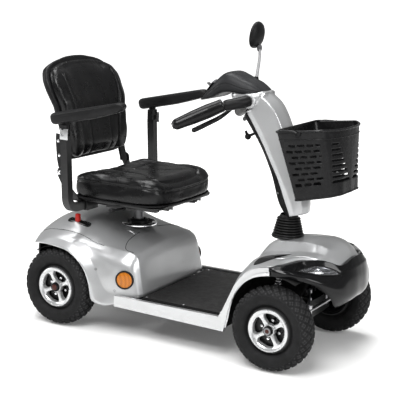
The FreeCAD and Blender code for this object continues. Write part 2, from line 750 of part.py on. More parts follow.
console = console_body(0).cut(console_body(-wall))
for y, hole_radius in ((DIAL_Y, 4.1), (KEY_Y, 4.1), (HORN_Y, 5.6)):
    console = console.cut(Part.makeCylinder(hole_radius, 80, on_face(y, -40), FACE_NORMAL))
console = console.cut(Part.makeCylinder(5.1, 60, Vector(MIRROR_FOOT_X, MIRROR_FOOT_Y, 880)))
feature("console", largest(console).removeSplitter())

feature("speed_dial", knob(DIAL_Y, stalk_radius=4.0, radius=17, height=15, lift=3.0))
blade = Part.makeCylinder(4.0, 22, on_face(KEY_Y, -STALK_DEPTH), FACE_NORMAL)
bow = block(-1.5, 1.5, -9, 9, 0, 16)
# the box's own origin is its corner, so it is rebuilt there before it is set on the face
bow = Part.makeBox(3, 18, 16, Vector(-1.5, -9, 0))
bow.Placement = Placement(on_face(KEY_Y, 5.5), Rotation(Vector(0, 0, 1), FACE_NORMAL))
feature("ignition_key", blade.fuse(bow).removeSplitter())
feature("horn_button", knob(HORN_Y, stalk_radius=5.5, radius=8.5, height=6, lift=4.0))

# throttle lever: one bar under both grips, with a hub in the middle
hub = Part.makeCylinder(15, 16, Vector(134, 0, 826), Vector(-0.38, 0, 0.925))
lever = swept([(8, 226, 729), (112, 122, 800), (134, 60, 834),
               (134, -60, 834), (112, -122, 800), (8, -226, 729)], 26, 6)
feature("throttle_lever", hub.fuse(lever).removeSplitter())

# bag hook through the rear cover
hook = Part.makeCylinder(4.5, 34, Vector(166, 0, 728), Vector(1, 0, 0.55))
hook = hook.fuse(Part.makeSphere(11, Vector(160, 0, 725)))
hook = hook.fuse(swept([(178, 0, 735), (160, 0, 725), (150, 0, 744)], 6, 4.5))
feature("bag_hook", hook.cut(stem).removeSplitter())
feature("tiller_rear_cover", rear_cover.cut(hook).cut(tilt_hole).removeSplitter())

TILT_HANDLE = [(282, 590), (298, 590), (300, 610), (282, 668), (270, 664), (280, 608)]
tilt_lever = cyl_y(5.0, 20, TILT_X, 36, TILT_Z).fuse(slab_xz(TILT_HANDLE, 52, 60))
feature("tilt_lever", tilt_lever.removeSplitter())

# ------------------------------------------------------------------ basket on the tiller's front
basket_half = dim.basket_half.value
basket_in = basket_half - 5
HANDLE_X, HANDLE_Z, HANDLE_PIN_R, HANDLE_R = 420, 782, 5.0, 4.5
# (x, z) side views of the outside and the inside
BASKET_SIDE = [(340, 790), (340, 772), (412, 562), (430, 552), (508, 558), (552, 792)]
BASKET_INSIDE = [(345, 820), (345, 774), (416, 566), (432, 557), (504, 563), (556, 820)]
# (x, y) plans of the same
BASKET_PLAN = mirror_second([(330, -basket_half), (470, -basket_half), (528, -120), (552, -50)])
INSIDE_PLAN = mirror_second([(330, -basket_in), (468, -basket_in), (524, -117), (547, -48)])
# (x, z) of the bracket, and of the basket's space cut out of it
BRACKET = [(326, 770), (339, 766), (400, 580), (388, 566), (374, 620), (345, 702), (322, 772)]
BRACKET_RELIEF = [(338.6, 790), (338.6, 771), (410.8, 561), (430, 545), (700, 560), (700, 792)]


def basket():
    shape = slab_xz(BASKET_SIDE, -basket_half, basket_half)
    shape = shape.common(slab_xy(BASKET_PLAN, 540, 800))
    inside = slab_xz(BASKET_INSIDE, -basket_in, basket_in)
    shape = shape.cut(inside.common(slab_xy(INSIDE_PLAN, 540, 840)))
    for k in range(4):  # slots in the sides
        z = 600 + 42 * k
        shape = shape.cut(block(440, 500, -200, 200, z, z + 12))
    for side in SIDES:
        shape = shape.cut(cyl_y(HANDLE_PIN_R + 0.05, 30, HANDLE_X, side * 150, HANDLE_Z, side))
    return largest(shape).removeSplitter()


def basket_handle():
    """Bent bar round the rear of the basket, with a disc and pin at each end."""
    disc_y = basket_half + 1
    y = disc_y + HANDLE_R
    left_half = [(HANDLE_X, y, HANDLE_Z), (404, y, 800), (365, y, 806)]
    right_half = [(x, -y, z) for x, y, z in reversed(left_half)]
    shape = swept(left_half + [(352, 0, 806)] + right_half, 12, HANDLE_R)
    for side in SIDES:
        shape = shape.fuse(cyl_y(9, 9, HANDLE_X, side * disc_y, HANDLE_Z, side))
        shape = shape.fuse(cyl_y(HANDLE_PIN_R, 24, HANDLE_X, side * 149, HANDLE_Z, side))
    return shape.removeSplitter()


feature("basket", basket())
bracket = slab_xz(BRACKET, -24, 24).cut(tiller_outer).cut(slab_xz(BRACKET_RELIEF, -170, 170))
feature("basket_bracket", largest(bracket).removeSplitter())
feature("basket_handle", basket_handle())

# ------------------------------------------------------------------ mirror, left of the console
STEM_BEND, STEM_TOP = (150, 108, 990), (134, 112, 1030)
ball_centre = Vector(134, 112, 1034)
mirror_place = Placement(Vector(124, 112, 1068), Rotation(Vector(0, 1, 0), 8))


def mirror_block(width, height, x0, x1):
    """Block centred on the X axis, with its four long edges rounded."""
    shape = block(x0, x1, -width / 2, width / 2, -height / 2, height / 2)
    return shape.makeFillet(16, [e for e in shape.Edges if e.BoundBox.XLength > 1])


mirror_stem = swept([(MIRROR_FOOT_X, MIRROR_FOOT_Y, 884), (MIRROR_FOOT_X, MIRROR_FOOT_Y, 936),
                     STEM_BEND, STEM_TOP], 16, 5)
mirror_stem = mirror_stem.fuse(Part.makeSphere(8, ball_centre))
feature("mirror_stem", mirror_stem.removeSplitter())
mirror_shell = mirror_block(104, 84, -6, 22).cut(mirror_block(97, 77, -8, 10))
mirror_shell.Placement = mirror_place
clearance = Part.makeSphere(8.4, ball_centre).fuse(swept([STEM_BEND, STEM_TOP], 1, 11))
feature("mirror_shell", mirror_shell.cut(clearance).removeSplitter())
feature("mirror_glass",
        mirror_block(96.4, 76.4, -5, -1).transformGeometry(mirror_place.toMatrix()))

# ================================================================== seat
post_x, post_top = dim.seat_x, dim.post_top
top_z = post_top.value
cut(cyl((post_x, 0, 180), ALONG_Z, dim.post_radius, post_top - 180),
    [cyl((post_x, 0, post_top - 60), ALONG_Z, dim.swivel_bore, 80)], "seat_post")

# swivel pin, plate and two lower slide rails
fuse([cyl((post_x, 0, post_top - 55), ALONG_Z, dim.swivel_radius, 60),
      box(post_x - 62, post_x + 62, -124, 124, post_top + 3, post_top + 11)]
     + box_pair(post_x - 120, post_x + 150, dim.rail_y - 12, dim.rail_y + 12,
                post_top + 8, post_top + 22),
     "swivel_plate")

# (x, z) of the upright ear that carries the backrest hinge
HINGE_EAR = [(-420, top_z + 32), (-452, top_z + 34), (-484, 512), (-500, 540), (-502, 560),
             (-494, 570), (-478, 570), (-470, 560), (-466, 530), (-440, 500),
             (-400, top_z + 40)]
pan_parts = box_pair(-440, -76, dim.rail_y - 14, dim.rail_y + 14, top_z + 23, top_z + 33)
pan_parts.append(box(-452, -72, -205, 205, top_z + 32, top_z + 40))
for side in SIDES:
    pan_parts += [
        box(-424, -376, *span(side, 128, 196), top_z - 5, top_z + 34),  # armrest socket
        prism("XZ_Plane", HINGE_EAR, 6, -side * 209),  # the plane's normal is -Y
        box(-452, -400, *span(side, 200, 212), top_z + 32, top_z + 40),
        cyl((dim.back_x, 206 * side, dim.back_z), (0, side, 0), dim.back_pin, 16),
    ]
cut(fuse(pan_parts), box_pair(-417, -383, 126, 240, top_z - 1.5, top_z + 31.5), "seat_pan")

# ------------------------------------------------------------------ armrests
arm_x, arm_z = dim.arm_pivot_x.value, dim.arm_pivot_z.value
ARM_PIN_R = 4
# (x, z) side view of the pad
PAD_SIDE = [(-462, 738), (-466, 745), (-464, 774), (-458, 777), (-196, 838), (-178, 833),
            (-163, 820), (-167, 804), (-186, 794), (-240, 786), (-455, 736)]
# (x, z) of the lug that hangs in the tube's fork
PAD_LUG = [(arm_x - 12, 745), (arm_x - 12, 724), (arm_x - 5, 717), (arm_x + 5, 717),
           (arm_x + 12, 724), (arm_x + 14, 755)]


def armrest_tube(side):
    """Square tube out of the seat pan and up, with a fork and pin at its top."""
    y = side * dim.arm_y.value
    socket_z = top_z + 15
    shape = swept([(arm_x, y, 700), (-400, y, socket_z), (-400, side * 130, socket_z)],
                  42, dim.arm_tube.value / 2, square=True)
    for cheek_y in (y - 13.5, y + 13.5):
        shape = shape.fuse(block(arm_x - 12, arm_x + 12, cheek_y - 2.5, cheek_y + 2.5, 690, 740))
    shape = shape.cut(block(arm_x - 30, arm_x + 30, y - 10.5, y + 10.5, 701, 761))
    shape = shape.fuse(cyl_y(ARM_PIN_R, 40, arm_x, y - 20, arm_z))
    return largest(shape).removeSplitter()


def armrest_pad(side):
    y = side * dim.arm_y.value
    w = dim.pad_width.value / 2
    plan = mirror_second([(-470, -w + 8), (-460, -w), (-196, -w), (-172, -w + 9), (-160, -9)])
    shape = slab_xz(PAD_SIDE, y - w, y + w)
    shape = shape.common(slab_xy([(a, y + b) for a, b in plan], 700, 900))
    # clear the fork on both sides of the lug
    middle = block(arm_x - 30, arm_x + 30, y - 9.5, y + 9.5, arm_z - 30, arm_z + 30)
    shape = shape.cut(cyl_y(16.5, 80, arm_x, y - 40, arm_z).cut(middle))
    shape = shape.fuse(slab_xz(PAD_LUG, y - 9.5, y + 9.5))
    shape = shape.cut(cyl_y(ARM_PIN_R + 0.05, 80, arm_x, y - 40, arm_z))
    return largest(shape).removeSplitter()


for hand, side in (("left", 1), ("right", -1)):
    feature("armrest_tube_" + hand, armrest_tube(side))
    feature("armrest_pad_" + hand, armrest_pad(side))

# ------------------------------------------------------------------ cushions
cushion_half = dim.cushion_half.value
back_half = dim.back_half.value
# (x, z), (x, y) and (y, z) views of the seat cushion
CUSHION_SIDE = [(-452, 470), (-454, 500), (-446, 530), (-420, 546), (-330, 552), (-180, 566),
                (-110, 566), (-66, 548), (-50, 520), (-54, 492), (-84, 472), (-110, 468)]
CUSHION_PLAN = mirror_second([(-454, -200), (-440, -222), (-400, -cushion_half),
                              (-160, -cushion_half), (-96, -205), (-62, -150), (-48, -60)])
CUSHION_SECTION = mirror_first([(-cushion_half, 400), (-cushion_half, 540), (-205, 700)])
cushion = slab_xz(CUSHION_SIDE, -cushion_half, cushion_half)
cushion = cushion.common(slab_xy(CUSHION_PLAN, 400, 600))
for side in SIDES:  # room for the hinge ears
    cushion = cushion.cut(block(-530, -390, *span(side, 203, 233), 400, 600))
cushion = cushion.common(slab_yz(CUSHION_SECTION, -600, 0))
feature("seat_cushion", largest(cushion).removeSplitter())

# (x, z) lines of the backrest: cushion front, joint, shell rear
BACK_FRONT = [(-462, 600), (-446, 640), (-458, 720), (-478, 800), (-500, 868), (-522, 926),
              (-540, 950)]
BACK_JOINT = [(-556, 950), (-546, 880), (-522, 790), (-506, 700), (-500, 640), (-498, 600)]
BACK_REAR = [(-520, 590), (-514, 640), (-522, 730), (-545, 806), (-566, 870), (-580, 916)]
# (y, z) front view
BACK_VIEW = mirror_first([(-150, 540), (-back_half, 600), (-back_half, 800), (-190, 870),
                          (-160, 920), (-110, 950), (-50, 957)])
# (x, z) of the strap from the shell down to the hinge
BACK_STRAP = [(-512, 640), (-500, 640), (-499, 600), (-474, 572), (-470, 553), (-474, 542),
              (-485, 538), (-496, 542), (-506, 560), (-516, 600)]


def backrest_slab(outline):
    return largest(slab_xz(outline, -210, 210).common(slab_yz(BACK_VIEW, -700, -300)))


feature("backrest_cushion", backrest_slab(BACK_FRONT + BACK_JOINT).removeSplitter())
joint_line = [(x - 0.6, z) for x, z in reversed(BACK_JOINT)]
back_shell = backrest_slab(joint_line + [(-575, 950)] + BACK_REAR[::-1])
for side in SIDES:
    back_shell = back_shell.fuse(slab_xz(BACK_STRAP, *span(side, 197, 204)))
    back_shell = back_shell.cut(cyl_y(dim.back_bore.value, 40, dim.back_x.value, side * 195,
                                      dim.back_z.value, side))
feature("backrest_shell", largest(back_shell).removeSplitter())

# ------------------------------------------------------------------ levers under the seat
swivel_lever = swept([(-190, 60, top_z + 14), (-150, 78, top_z + 16), (-100, 100, top_z + 19)],
                     6, 4, round_ends=True)
swivel_lever = swivel_lever.fuse(Part.makeCylinder(7, 6, Vector(-190, 60, top_z + 12)))
feature("swivel_lever", swivel_lever.removeSplitter())
slide_lever = swept([(-256, -140, top_z + 10), (-256, -230, top_z + 20)], 6, 4, round_ends=True)
slide_lever = slide_lever.fuse(Part.makeCylinder(7, 8, Vector(-256, -142, top_z + 6)))
feature("slide_lever", slide_lever.removeSplitter())
freewheel = slab_xz([(-442, 300), (-430, 300), (-428, 384), (-446, 384)], -173.5, -166.5)
freewheel = freewheel.fuse(cyl_y(10, 7, -436, -173.5, 300))
feature("freewheel_lever", freewheel.removeSplitter())

# ================================================================== check and write
doc.recompute()
bad = [o.Name for o in doc.Objects if "Invalid" in o.State or "Error" in o.State]
assert not bad, "features failed: %s" % bad
for name, obj in NODES.items():
    shape = obj.Shape
    assert not shape.isNull() and shape.isValid() and shape.Solids, "bad shape: " + name
for name, obj in NODES.items():
    obj.Shape.exportStep("parts/%s.step" % name)
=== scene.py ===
"""Four-wheeled mobility scooter: detailed skins and materials over its CAD pieces.

X points to the front, Y to the scooter's left and Z up; the ground is z = 0.
Geometry is written in millimetres and scaled by MM when a mesh is built.
"""
import bpy
import bmesh
import math
import numpy as np
from mathutils import Vector, Matrix
from mathutils.bvhtree import BVHTree


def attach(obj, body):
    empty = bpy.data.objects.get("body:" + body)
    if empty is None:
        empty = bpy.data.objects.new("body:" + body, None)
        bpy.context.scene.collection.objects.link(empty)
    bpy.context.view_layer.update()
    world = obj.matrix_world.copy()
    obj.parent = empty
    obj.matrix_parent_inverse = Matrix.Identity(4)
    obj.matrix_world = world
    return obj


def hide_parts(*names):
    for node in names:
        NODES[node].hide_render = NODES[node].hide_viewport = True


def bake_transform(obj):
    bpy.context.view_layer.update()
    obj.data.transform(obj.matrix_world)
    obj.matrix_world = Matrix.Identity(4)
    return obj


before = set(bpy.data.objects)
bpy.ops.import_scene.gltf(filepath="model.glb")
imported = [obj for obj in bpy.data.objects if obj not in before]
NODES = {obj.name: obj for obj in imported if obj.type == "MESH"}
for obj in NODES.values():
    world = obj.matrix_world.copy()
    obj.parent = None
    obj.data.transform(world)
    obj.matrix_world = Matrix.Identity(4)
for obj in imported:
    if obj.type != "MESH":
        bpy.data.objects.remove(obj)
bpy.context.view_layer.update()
MM = 0.001

SIDES = ((1, "left"), (-1, "right"))  # sign of Y, name
REAR_AXLE_X = -452.0
FRONT_AXLE_X = 408.0
AXLE_Z = 144.0
WHEEL_Y = 248.0
UP = (0, 0, 1)
DOWN = (0, 0, -1)


# ================================================================ materials
MATERIALS = {}
MIDDLE = (0.3, 0.7)  # the part of a noise's range that carries most of its values
SOCKETS = {"color": "Base Color", "rough": "Roughness", "normal": "Normal", "metallic": "Metallic",
           "coat": "Coat Weight", "coat_rough": "Coat Roughness", "spec": "Specular IOR Level",
           "trans": "Transmission Weight", "ior": "IOR",
           "glow_color": "Emission Color", "glow": "Emission Strength"}


def shade(color, gain, lift=0.0):
    return tuple(min(1.0, c * gain + lift) for c in color)


class Shader:
    """A new material with one Principled shader, and short calls that add nodes to it."""

    def __init__(self, name):
        self.material = bpy.data.materials.new(name)
        self.material.use_nodes = True
        self.tree = self.material.node_tree
        for node in list(self.tree.nodes):
            self.tree.nodes.remove(node)
        output = self.tree.nodes.new("ShaderNodeOutputMaterial")
        self.principled = self.tree.nodes.new("ShaderNodeBsdfPrincipled")
        self.tree.links.new(self.principled.outputs[0], output.inputs[0])
        self.object_coords = self.node("TexCoord", "Object", {})

    def feed(self, socket, value):
        """Link a socket to another, or give it a plain value."""
        if isinstance(value, bpy.types.NodeSocket):
            self.tree.links.new(value, socket)
        elif socket.type == "RGBA":
            socket.default_value = (*value, 1)
        else:
            socket.default_value = value

    def node(self, kind, output, inputs, **settings):
        node = self.tree.nodes.new("ShaderNode" + kind)
        for key, value in settings.items():
            setattr(node, key, value)
        for key, value in inputs.items():
            self.feed(node.inputs[key], value)
        return node.outputs[output]

    def surface(self, **values):
        for key, value in values.items():
            self.feed(self.principled.inputs[SOCKETS[key]], value)

    def coords(self, scale, turn=(0, 0, 0)):
        return self.node("Mapping", 0, {"Scale": scale, "Rotation": turn,
                                        "Vector": self.object_coords})

    def noise(self, scale, detail=3.0, rough=0.55, coords=None, distort=0.0):
        return self.node("TexNoise", "Fac", {
            "Scale": scale, "Detail": detail, "Roughness": rough, "Distortion": distort,
            "Vector": coords or self.object_coords})

    def cells(self, scale, feature="F1", coords=None, random=1.0):
        return self.node("TexVoronoi", "Distance", {
            "Scale": scale, "Randomness": random,
            "Vector": coords or self.object_coords}, feature=feature)

    def bands(self, scale, axis):
        return self.node("TexWave", "Fac", {"Scale": scale, "Vector": self.object_coords},
                         bands_direction=axis)

    def remap(self, source, to, of=MIDDLE):
        """Map the range `of` of the source onto the range `to`."""
        return self.node("MapRange", 0, {1: of[0], 2: of[1], 3: to[0], 4: to[1], 0: source})

    def cloud(self, to, of=MIDDLE, **noise):
        """Noise mapped onto a range."""
        return self.remap(self.noise(**noise), to, of)

    def mix(self, factor, first, second):
        return self.node("Mix", 2, {0: factor, 6: first, 7: second}, data_type="RGBA")

    def math(self, operation, first, second=0.0):
        return self.node("Math", 0, {0: first, 1: second}, operation=operation)

    def bump(self, height, strength, distance, under=None):
        inputs = {"Strength": strength, "Distance": distance, "Height": height}
        if under:
            inputs["Normal"] = under
        return self.node("Bump", 0, inputs)

    def painted_edge_highlight(self, color, edge_highlight, pointiness, amount):
        """Blend a paler colour in where the surface is sharply convex: a painted edge highlight.
        """
        point = self.node("NewGeometry", "Pointiness", {})
        edge = self.remap(point, to=(0.0, 1.0), of=pointiness)
        return self.mix(self.math("MULTIPLY", edge, amount), color, edge_highlight)


def new_shader(name):
    shader = Shader(name)
    MATERIALS[name] = shader.material
    return shader


def paint(name, base, dark, metallic, rough, coat, flake=0.5, edge_highlight=(0.75, 0.76, 0.77)):
    """Metallic lacquer: soft cloudiness, flake sparkle and a slight painted highlight on sharp
    edges.
    """
    g = new_shader(name)
    color = g.mix(g.cloud(to=(0.25, 0.85), scale=5.0, detail=3, rough=0.5), dark, base)
    sparkle = g.cloud(to=(0.0, 0.06 * flake), of=(0.45, 0.75), scale=300.0, detail=2, rough=0.5)
    color = g.mix(sparkle, color, (0.9, 0.91, 0.92))
    g.surface(
        color=g.painted_edge_highlight(color, edge_highlight, pointiness=(0.54, 0.64), amount=0.2),
        rough=g.cloud(to=(rough * 0.92, rough * 1.12), scale=14.0, detail=2),
        normal=g.bump(g.noise(scale=9.0, detail=1), strength=0.02, distance=0.001),
        metallic=metallic, coat=coat, coat_rough=0.06)


def plastic(name, base, rough, grain=1400.0, grain_bump=0.25, grain_depth=0.0004,
            coat=0.0, edge=0.25, vary=0.35):
    """Moulded plastic: fine grain, faint flow marks and paler edges painted as highlight."""
    g = new_shader(name)
    patches = g.cloud(to=(0.0, 1.0), of=(0.35, 0.7), scale=11.0, detail=5, rough=0.6)
    color = g.mix(patches, base, shade(base, 1 + vary, 0.004))
    # convex edges painted paler, as highlight
    color = g.painted_edge_highlight(color, shade(base, 2.2, 0.03), pointiness=(0.52, 0.6), amount=edge)
    roughness = g.cloud(to=(rough * 0.82, min(1, rough * 1.22)), scale=60.0, detail=4)
    fine = g.bump(g.cells(scale=grain), strength=grain_bump, distance=grain_depth)
    flow = g.bump(g.noise(scale=25.0, detail=3), strength=0.06, distance=0.0012, under=fine)
    g.surface(color=color, rough=roughness, normal=flow, coat=coat, coat_rough=0.05, spec=0.20)


def vinyl(name, base, high, rough):
    """Leather-look vinyl: pebble grain with painted shade in the gaps, fine creases and broad
    wrinkles.
    """
    g = new_shader(name)
    pebbles = g.cells(scale=520.0, feature="DISTANCE_TO_EDGE")
    creases = g.noise(scale=240.0, detail=5, rough=0.65, distort=0.6)
    wrinkles = g.noise(scale=22.0, detail=5, rough=0.6, distort=1.2,
                       coords=g.coords(scale=(1.0, 2.2, 1.0), turn=(0, 0, 0.6)))
    color = g.mix(g.cloud(to=(0.0, 1.0), of=(0.35, 0.7), scale=9.0, detail=4), base, high)
    # gaps between the pebbles painted darker, as shade
    gap_shade = g.remap(pebbles, to=(0.55, 0.0), of=(0.0, 0.12))
    color = g.mix(gap_shade, color, shade(base, 0.35))
    roughness = g.cloud(to=(rough * 0.8, rough * 1.3), scale=30.0, detail=4)
    normal = g.bump(g.remap(pebbles, to=(0.0, 1.0), of=(0.0, 0.16)),
                    strength=0.10, distance=0.0004)
    normal = g.bump(creases, strength=0.03, distance=0.0008, under=normal)
    normal = g.bump(g.remap(wrinkles, to=(0.0, 1.0), of=(0.45, 0.6)),
                    strength=0.05, distance=0.003, under=normal)
    g.surface(color=color, rough=roughness, normal=normal, spec=0.40, coat=0.08, coat_rough=0.20)


def rubber(name, base, rough, dust, grain=700.0):
    """Matt rubber with dust patches, and pale edges painted as highlight, as on the tyre's knob
    tops.
    """
    g = new_shader(name)
    patches = g.cloud(to=(0.0, dust), of=(0.4, 0.75), scale=18.0, detail=5, rough=0.6)
    color = g.mix(patches, base, shade(base, 1.9, 0.004))
    color = g.painted_edge_highlight(color, shade(base, 4.0, 0.01), pointiness=(0.51, 0.57), amount=0.75)
    roughness = g.cloud(to=(rough * 0.85, min(1, rough * 1.15)), scale=45.0, detail=4)
    fine = g.bump(g.noise(scale=grain, detail=3), strength=0.2, distance=0.0006)
    broad = g.bump(g.noise(scale=80.0, detail=4), strength=0.12, distance=0.0012, under=fine)
    g.surface(color=color, rough=roughness, normal=broad, spec=0.22)


def metal(name, base, rough, brush=(1, 1, 60), brush_bump=0.12, grime=0.3):
    """Bare metal with brush marks (stretched by `brush`) and darker grime."""
    g = new_shader(name)
    patches = g.cloud(to=(0.0, grime), of=(0.5, 0.75), scale=16.0, detail=5, rough=0.6)
    color = g.mix(patches, base, shade(base, 0.45))
    marks = g.noise(scale=30.0, detail=4, rough=0.6, coords=g.coords(scale=brush))
    roughness = g.remap(marks, to=(rough * 0.7, rough * 1.5))
    normal = g.bump(marks, strength=brush_bump, distance=0.0005)
    normal = g.bump(g.noise(scale=300.0, detail=3), strength=0.06, distance=0.0004, under=normal)
    g.surface(color=color, rough=roughness, normal=normal, metallic=1.0)


def lens(name, base, rough, trans, pattern, scale, glow=0.0):
    """Clear or coloured lens moulded with prisms or flutes, its colour darkened with the relief as
    painted shading.
    """
    g = new_shader(name)
    if pattern == "prism":
        relief = g.cells(scale=scale, random=0.0,
                         coords=g.coords(scale=(1, 1, 1), turn=(0, 0.78, 0)))
    else:
        relief = g.bands(scale=scale, axis="Z")
    # the colour darkens with the relief: painted shading of the prisms and flutes
    color = g.mix(g.remap(relief, to=(0.0, 1.0), of=(0.1, 0.6)), base, shade(base, 0.55))
    g.surface(color=color,
              rough=g.cloud(to=(rough, rough + 0.08), of=(0.4, 0.7), scale=70.0, detail=3),
              normal=g.bump(relief, strength=0.5, distance=0.0012),
              trans=trans, ior=1.5, coat=0.4, coat_rough=0.03)
    if glow:
        g.surface(glow_color=base, glow=glow)


def ribbed_mat(name):
    """Rubber floor mat with fine ribs, painted shade in their valleys and a dusty top."""
    g = new_shader(name)
    ribs = g.bands(scale=48.0, axis="Y")
    dust = g.cloud(to=(0.0, 0.5), of=(0.4, 0.75), scale=12.0, detail=5)
    color = g.mix(dust, (0.013, 0.0127, 0.0127), (0.024, 0.0235, 0.023))
    # rib valleys painted darker, as shade
    valley_shade = g.remap(ribs, to=(0.35, 0.0), of=(0.0, 0.5))
    color = g.mix(valley_shade, color, (0.012, 0.012, 0.012))
    roughness = g.cloud(to=(0.5, 0.8), scale=50.0, detail=4)
    normal = g.bump(ribs, strength=0.55, distance=0.0016)
    normal = g.bump(g.noise(scale=900.0, detail=2), strength=0.15, distance=0.0004, under=normal)
    g.surface(color=color, rough=roughness, normal=normal)


paint("silver", base=(0.52, 0.525, 0.53), dark=(0.46, 0.465, 0.47),
      metallic=0.52, rough=0.30, coat=0.6)
paint("silver_trim", base=(0.66, 0.665, 0.67), dark=(0.58, 0.585, 0.59),
      metallic=0.55, rough=0.28, coat=0.6, flake=0.3)
paint("rim_paint", base=(0.66, 0.665, 0.67), dark=(0.56, 0.565, 0.57),
      metallic=0.65, rough=0.27, coat=0.5, flake=0.3)
# the frame coat's paler edges are a painted highlight
paint("frame_coat", base=(0.014, 0.014, 0.0145), dark=(0.009, 0.009, 0.0095),
      metallic=0.1, rough=0.34, coat=0.25, flake=0.03, edge_highlight=(0.10, 0.10, 0.10))
plastic("black_abs", base=(0.010, 0.010, 0.0105), rough=0.36)
plastic("gloss_black", base=(0.006, 0.006, 0.0065), rough=0.14, grain=500.0, grain_bump=0.03,
        coat=0.35, edge=0.12)
plastic("basket_black", base=(0.009, 0.009, 0.0095), rough=0.26, grain=900.0, grain_bump=0.10,
        coat=0.12, edge=0.3)
plastic("dark_grey", base=(0.026, 0.0265, 0.028), rough=0.34, grain=1500.0, grain_bump=0.3)
plastic("well_black", base=(0.005, 0.005, 0.005), rough=0.75, grain=600.0, grain_bump=0.3)
plastic("pad_grey", base=(0.014, 0.014, 0.0145), rough=0.34, grain=800.0, grain_bump=0.4,
        grain_depth=0.0006)
plastic("battery_grey", base=(0.045, 0.046, 0.050), rough=0.5)
plastic("lever_red", base=(0.42, 0.020, 0.014), rough=0.33, coat=0.3, vary=0.1)
plastic("hub_cap", base=(0.050, 0.012, 0.008), rough=0.30, coat=0.3)
metal("lamp_bowl", base=(0.38, 0.38, 0.39), rough=0.12, brush_bump=0.03)
plastic("key_grey", base=(0.10, 0.10, 0.105), rough=0.35)
plastic("alu_grey", base=(0.30, 0.30, 0.305), rough=0.30, coat=0.2, vary=0.1)
vinyl("vinyl", base=(0.0055, 0.0055, 0.006), high=(0.010, 0.010, 0.0105), rough=0.29)
vinyl("vinyl_side", base=(0.012, 0.012, 0.0125), high=(0.020, 0.020, 0.021), rough=0.32)
# the tyre's pale knob edges are a painted highlight
rubber("tyre", base=(0.015, 0.015, 0.0155), rough=0.70, dust=0.6)
rubber("boot", base=(0.006, 0.006, 0.006), rough=0.30, dust=0.05, grain=900.0)
rubber("grip_rubber", base=(0.008, 0.008, 0.0085), rough=0.42, dust=0.08, grain=1100.0)
plastic("grip_gloss", base=(0.0075, 0.0075, 0.008), rough=0.24, grain=800.0, grain_bump=0.10,
        coat=0.15)
metal("steel", base=(0.46, 0.46, 0.47), rough=0.30)
metal("dark_steel", base=(0.16, 0.16, 0.165), rough=0.34)
metal("chrome", base=(0.86, 0.86, 0.87), rough=0.09, brush_bump=0.03, grime=0.1)
metal("alu_strip", base=(0.62, 0.625, 0.63), rough=0.34, brush=(1, 60, 60), brush_bump=0.10,
      grime=0.12)
metal("mirror", base=(0.93, 0.94, 0.94), rough=0.02, brush_bump=0.004, grime=0.02)
metal("cast_grey", base=(0.30, 0.30, 0.31), rough=0.50, brush=(1, 1, 1), brush_bump=0.3)
lens("lens_clear", base=(0.97, 0.98, 1.0), rough=0.02, trans=0.96, pattern="flute", scale=30.0)
lens("lens_red", base=(0.62, 0.02, 0.02), rough=0.10, trans=0.35, pattern="prism", scale=210.0,
     glow=0.05)
# the reflector's glow is painted light on the side reflector domes, which are no lamps; on the
# gauge lights it stands for their LEDs
lens("reflector", base=(0.72, 0.25, 0.015), rough=0.12, trans=0.10, pattern="prism", scale=230.0,
     glow=0.03)
ribbed_mat("floor_mat")

# material of each CAD node whose name holds the key; the longest key wins
NODE_MATERIAL = {
    "main_frame": "frame_coat", "deck_pan": "black_abs", "floor_mat": "floor_mat",
    "sill_trims": "alu_strip", "rear_bumper": "black_abs", "tail_lamps": "lens_red",
    "side_reflectors": "reflector", "battery_packs": "battery_grey", "transaxle": "cast_grey",
    "drive_motor": "black_abs", "seat_collar": "chrome", "steering_rods": "steel",
    "steering_column": "steel", "tiller_frame": "frame_coat", "bag_hook": "black_abs",
    "basket_bracket": "frame_coat", "throttle_lever": "black_abs", "speed_dial": "key_grey",
    "ignition_key": "steel", "horn_button": "lever_red", "basket_handle": "frame_coat",
    "mirror_stem": "key_grey", "mirror_glass": "mirror", "seat_post": "dark_steel",
    "swivel_plate": "frame_coat", "seat_pan": "frame_coat", "armrest_tube_left": "frame_coat",
    "armrest_tube_right": "frame_coat", "freewheel_lever": "lever_red", "half_shaft": "steel",
    "tilt_lever": "black_abs"}
NODE_FALLBACKS = [("tyre", "tyre"), ("rim", "rim_paint"), ("knuckle", "cast_grey"),
                  ("", "black_abs")]


def dress_cad_nodes():
    by_length = sorted(NODE_MATERIAL.items(), key=lambda pair: len(pair[0]), reverse=True)
    for name, node in NODES.items():
        material = next(m for key, m in by_length + NODE_FALLBACKS if key in name)
        node.data.materials.clear()
        node.data.materials.append(MATERIALS[material])
        if len(node.data.polygons):
            node.data.polygons.foreach_set("material_index", [0] * len(node.data.polygons))


dress_cad_nodes()


# ================================================================ building objects
def smooth(mesh):
    mesh.polygons.foreach_set("use_smooth", [True] * len(mesh.polygons))


def mark_sharp(o, degrees):
    o.data.set_sharp_from_angle(angle=math.radians(degrees))


def build(name, mesh, mats, sharp=35.0):
    """Object from (verts in mm, faces[, material index per face]); mats is a name or a list."""
    verts, faces, *slots = mesh
    data = bpy.data.meshes.new(name)
    data.from_pydata([tuple(float(c) * MM for c in v) for v in verts], [],
                     [tuple(int(i) for i in f) for f in faces])
    o = bpy.data.objects.new(name, data)
    bpy.context.scene.collection.objects.link(o)
    names = [mats] if isinstance(mats, str) else mats
    for material in names:
        data.materials.append(MATERIALS[material])
    if len(names) > 1:
        data.polygons.foreach_set("material_index", slots[0])
    data.validate()
    smooth(data)
    if sharp:
        mark_sharp(o, sharp)
    data.update()
    return o


def place(o, body, *nodes):
    if nodes:
        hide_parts(*nodes)
    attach(o, body)
    return o


def add(name, mesh, mats, body, *nodes, sharp=35.0):
    return place(build(name, mesh, mats, sharp), body, *nodes)


def on_left(side, node):
    """A node standing for both sides is replaced by the left object alone."""
    return (node,) if side > 0 else ()


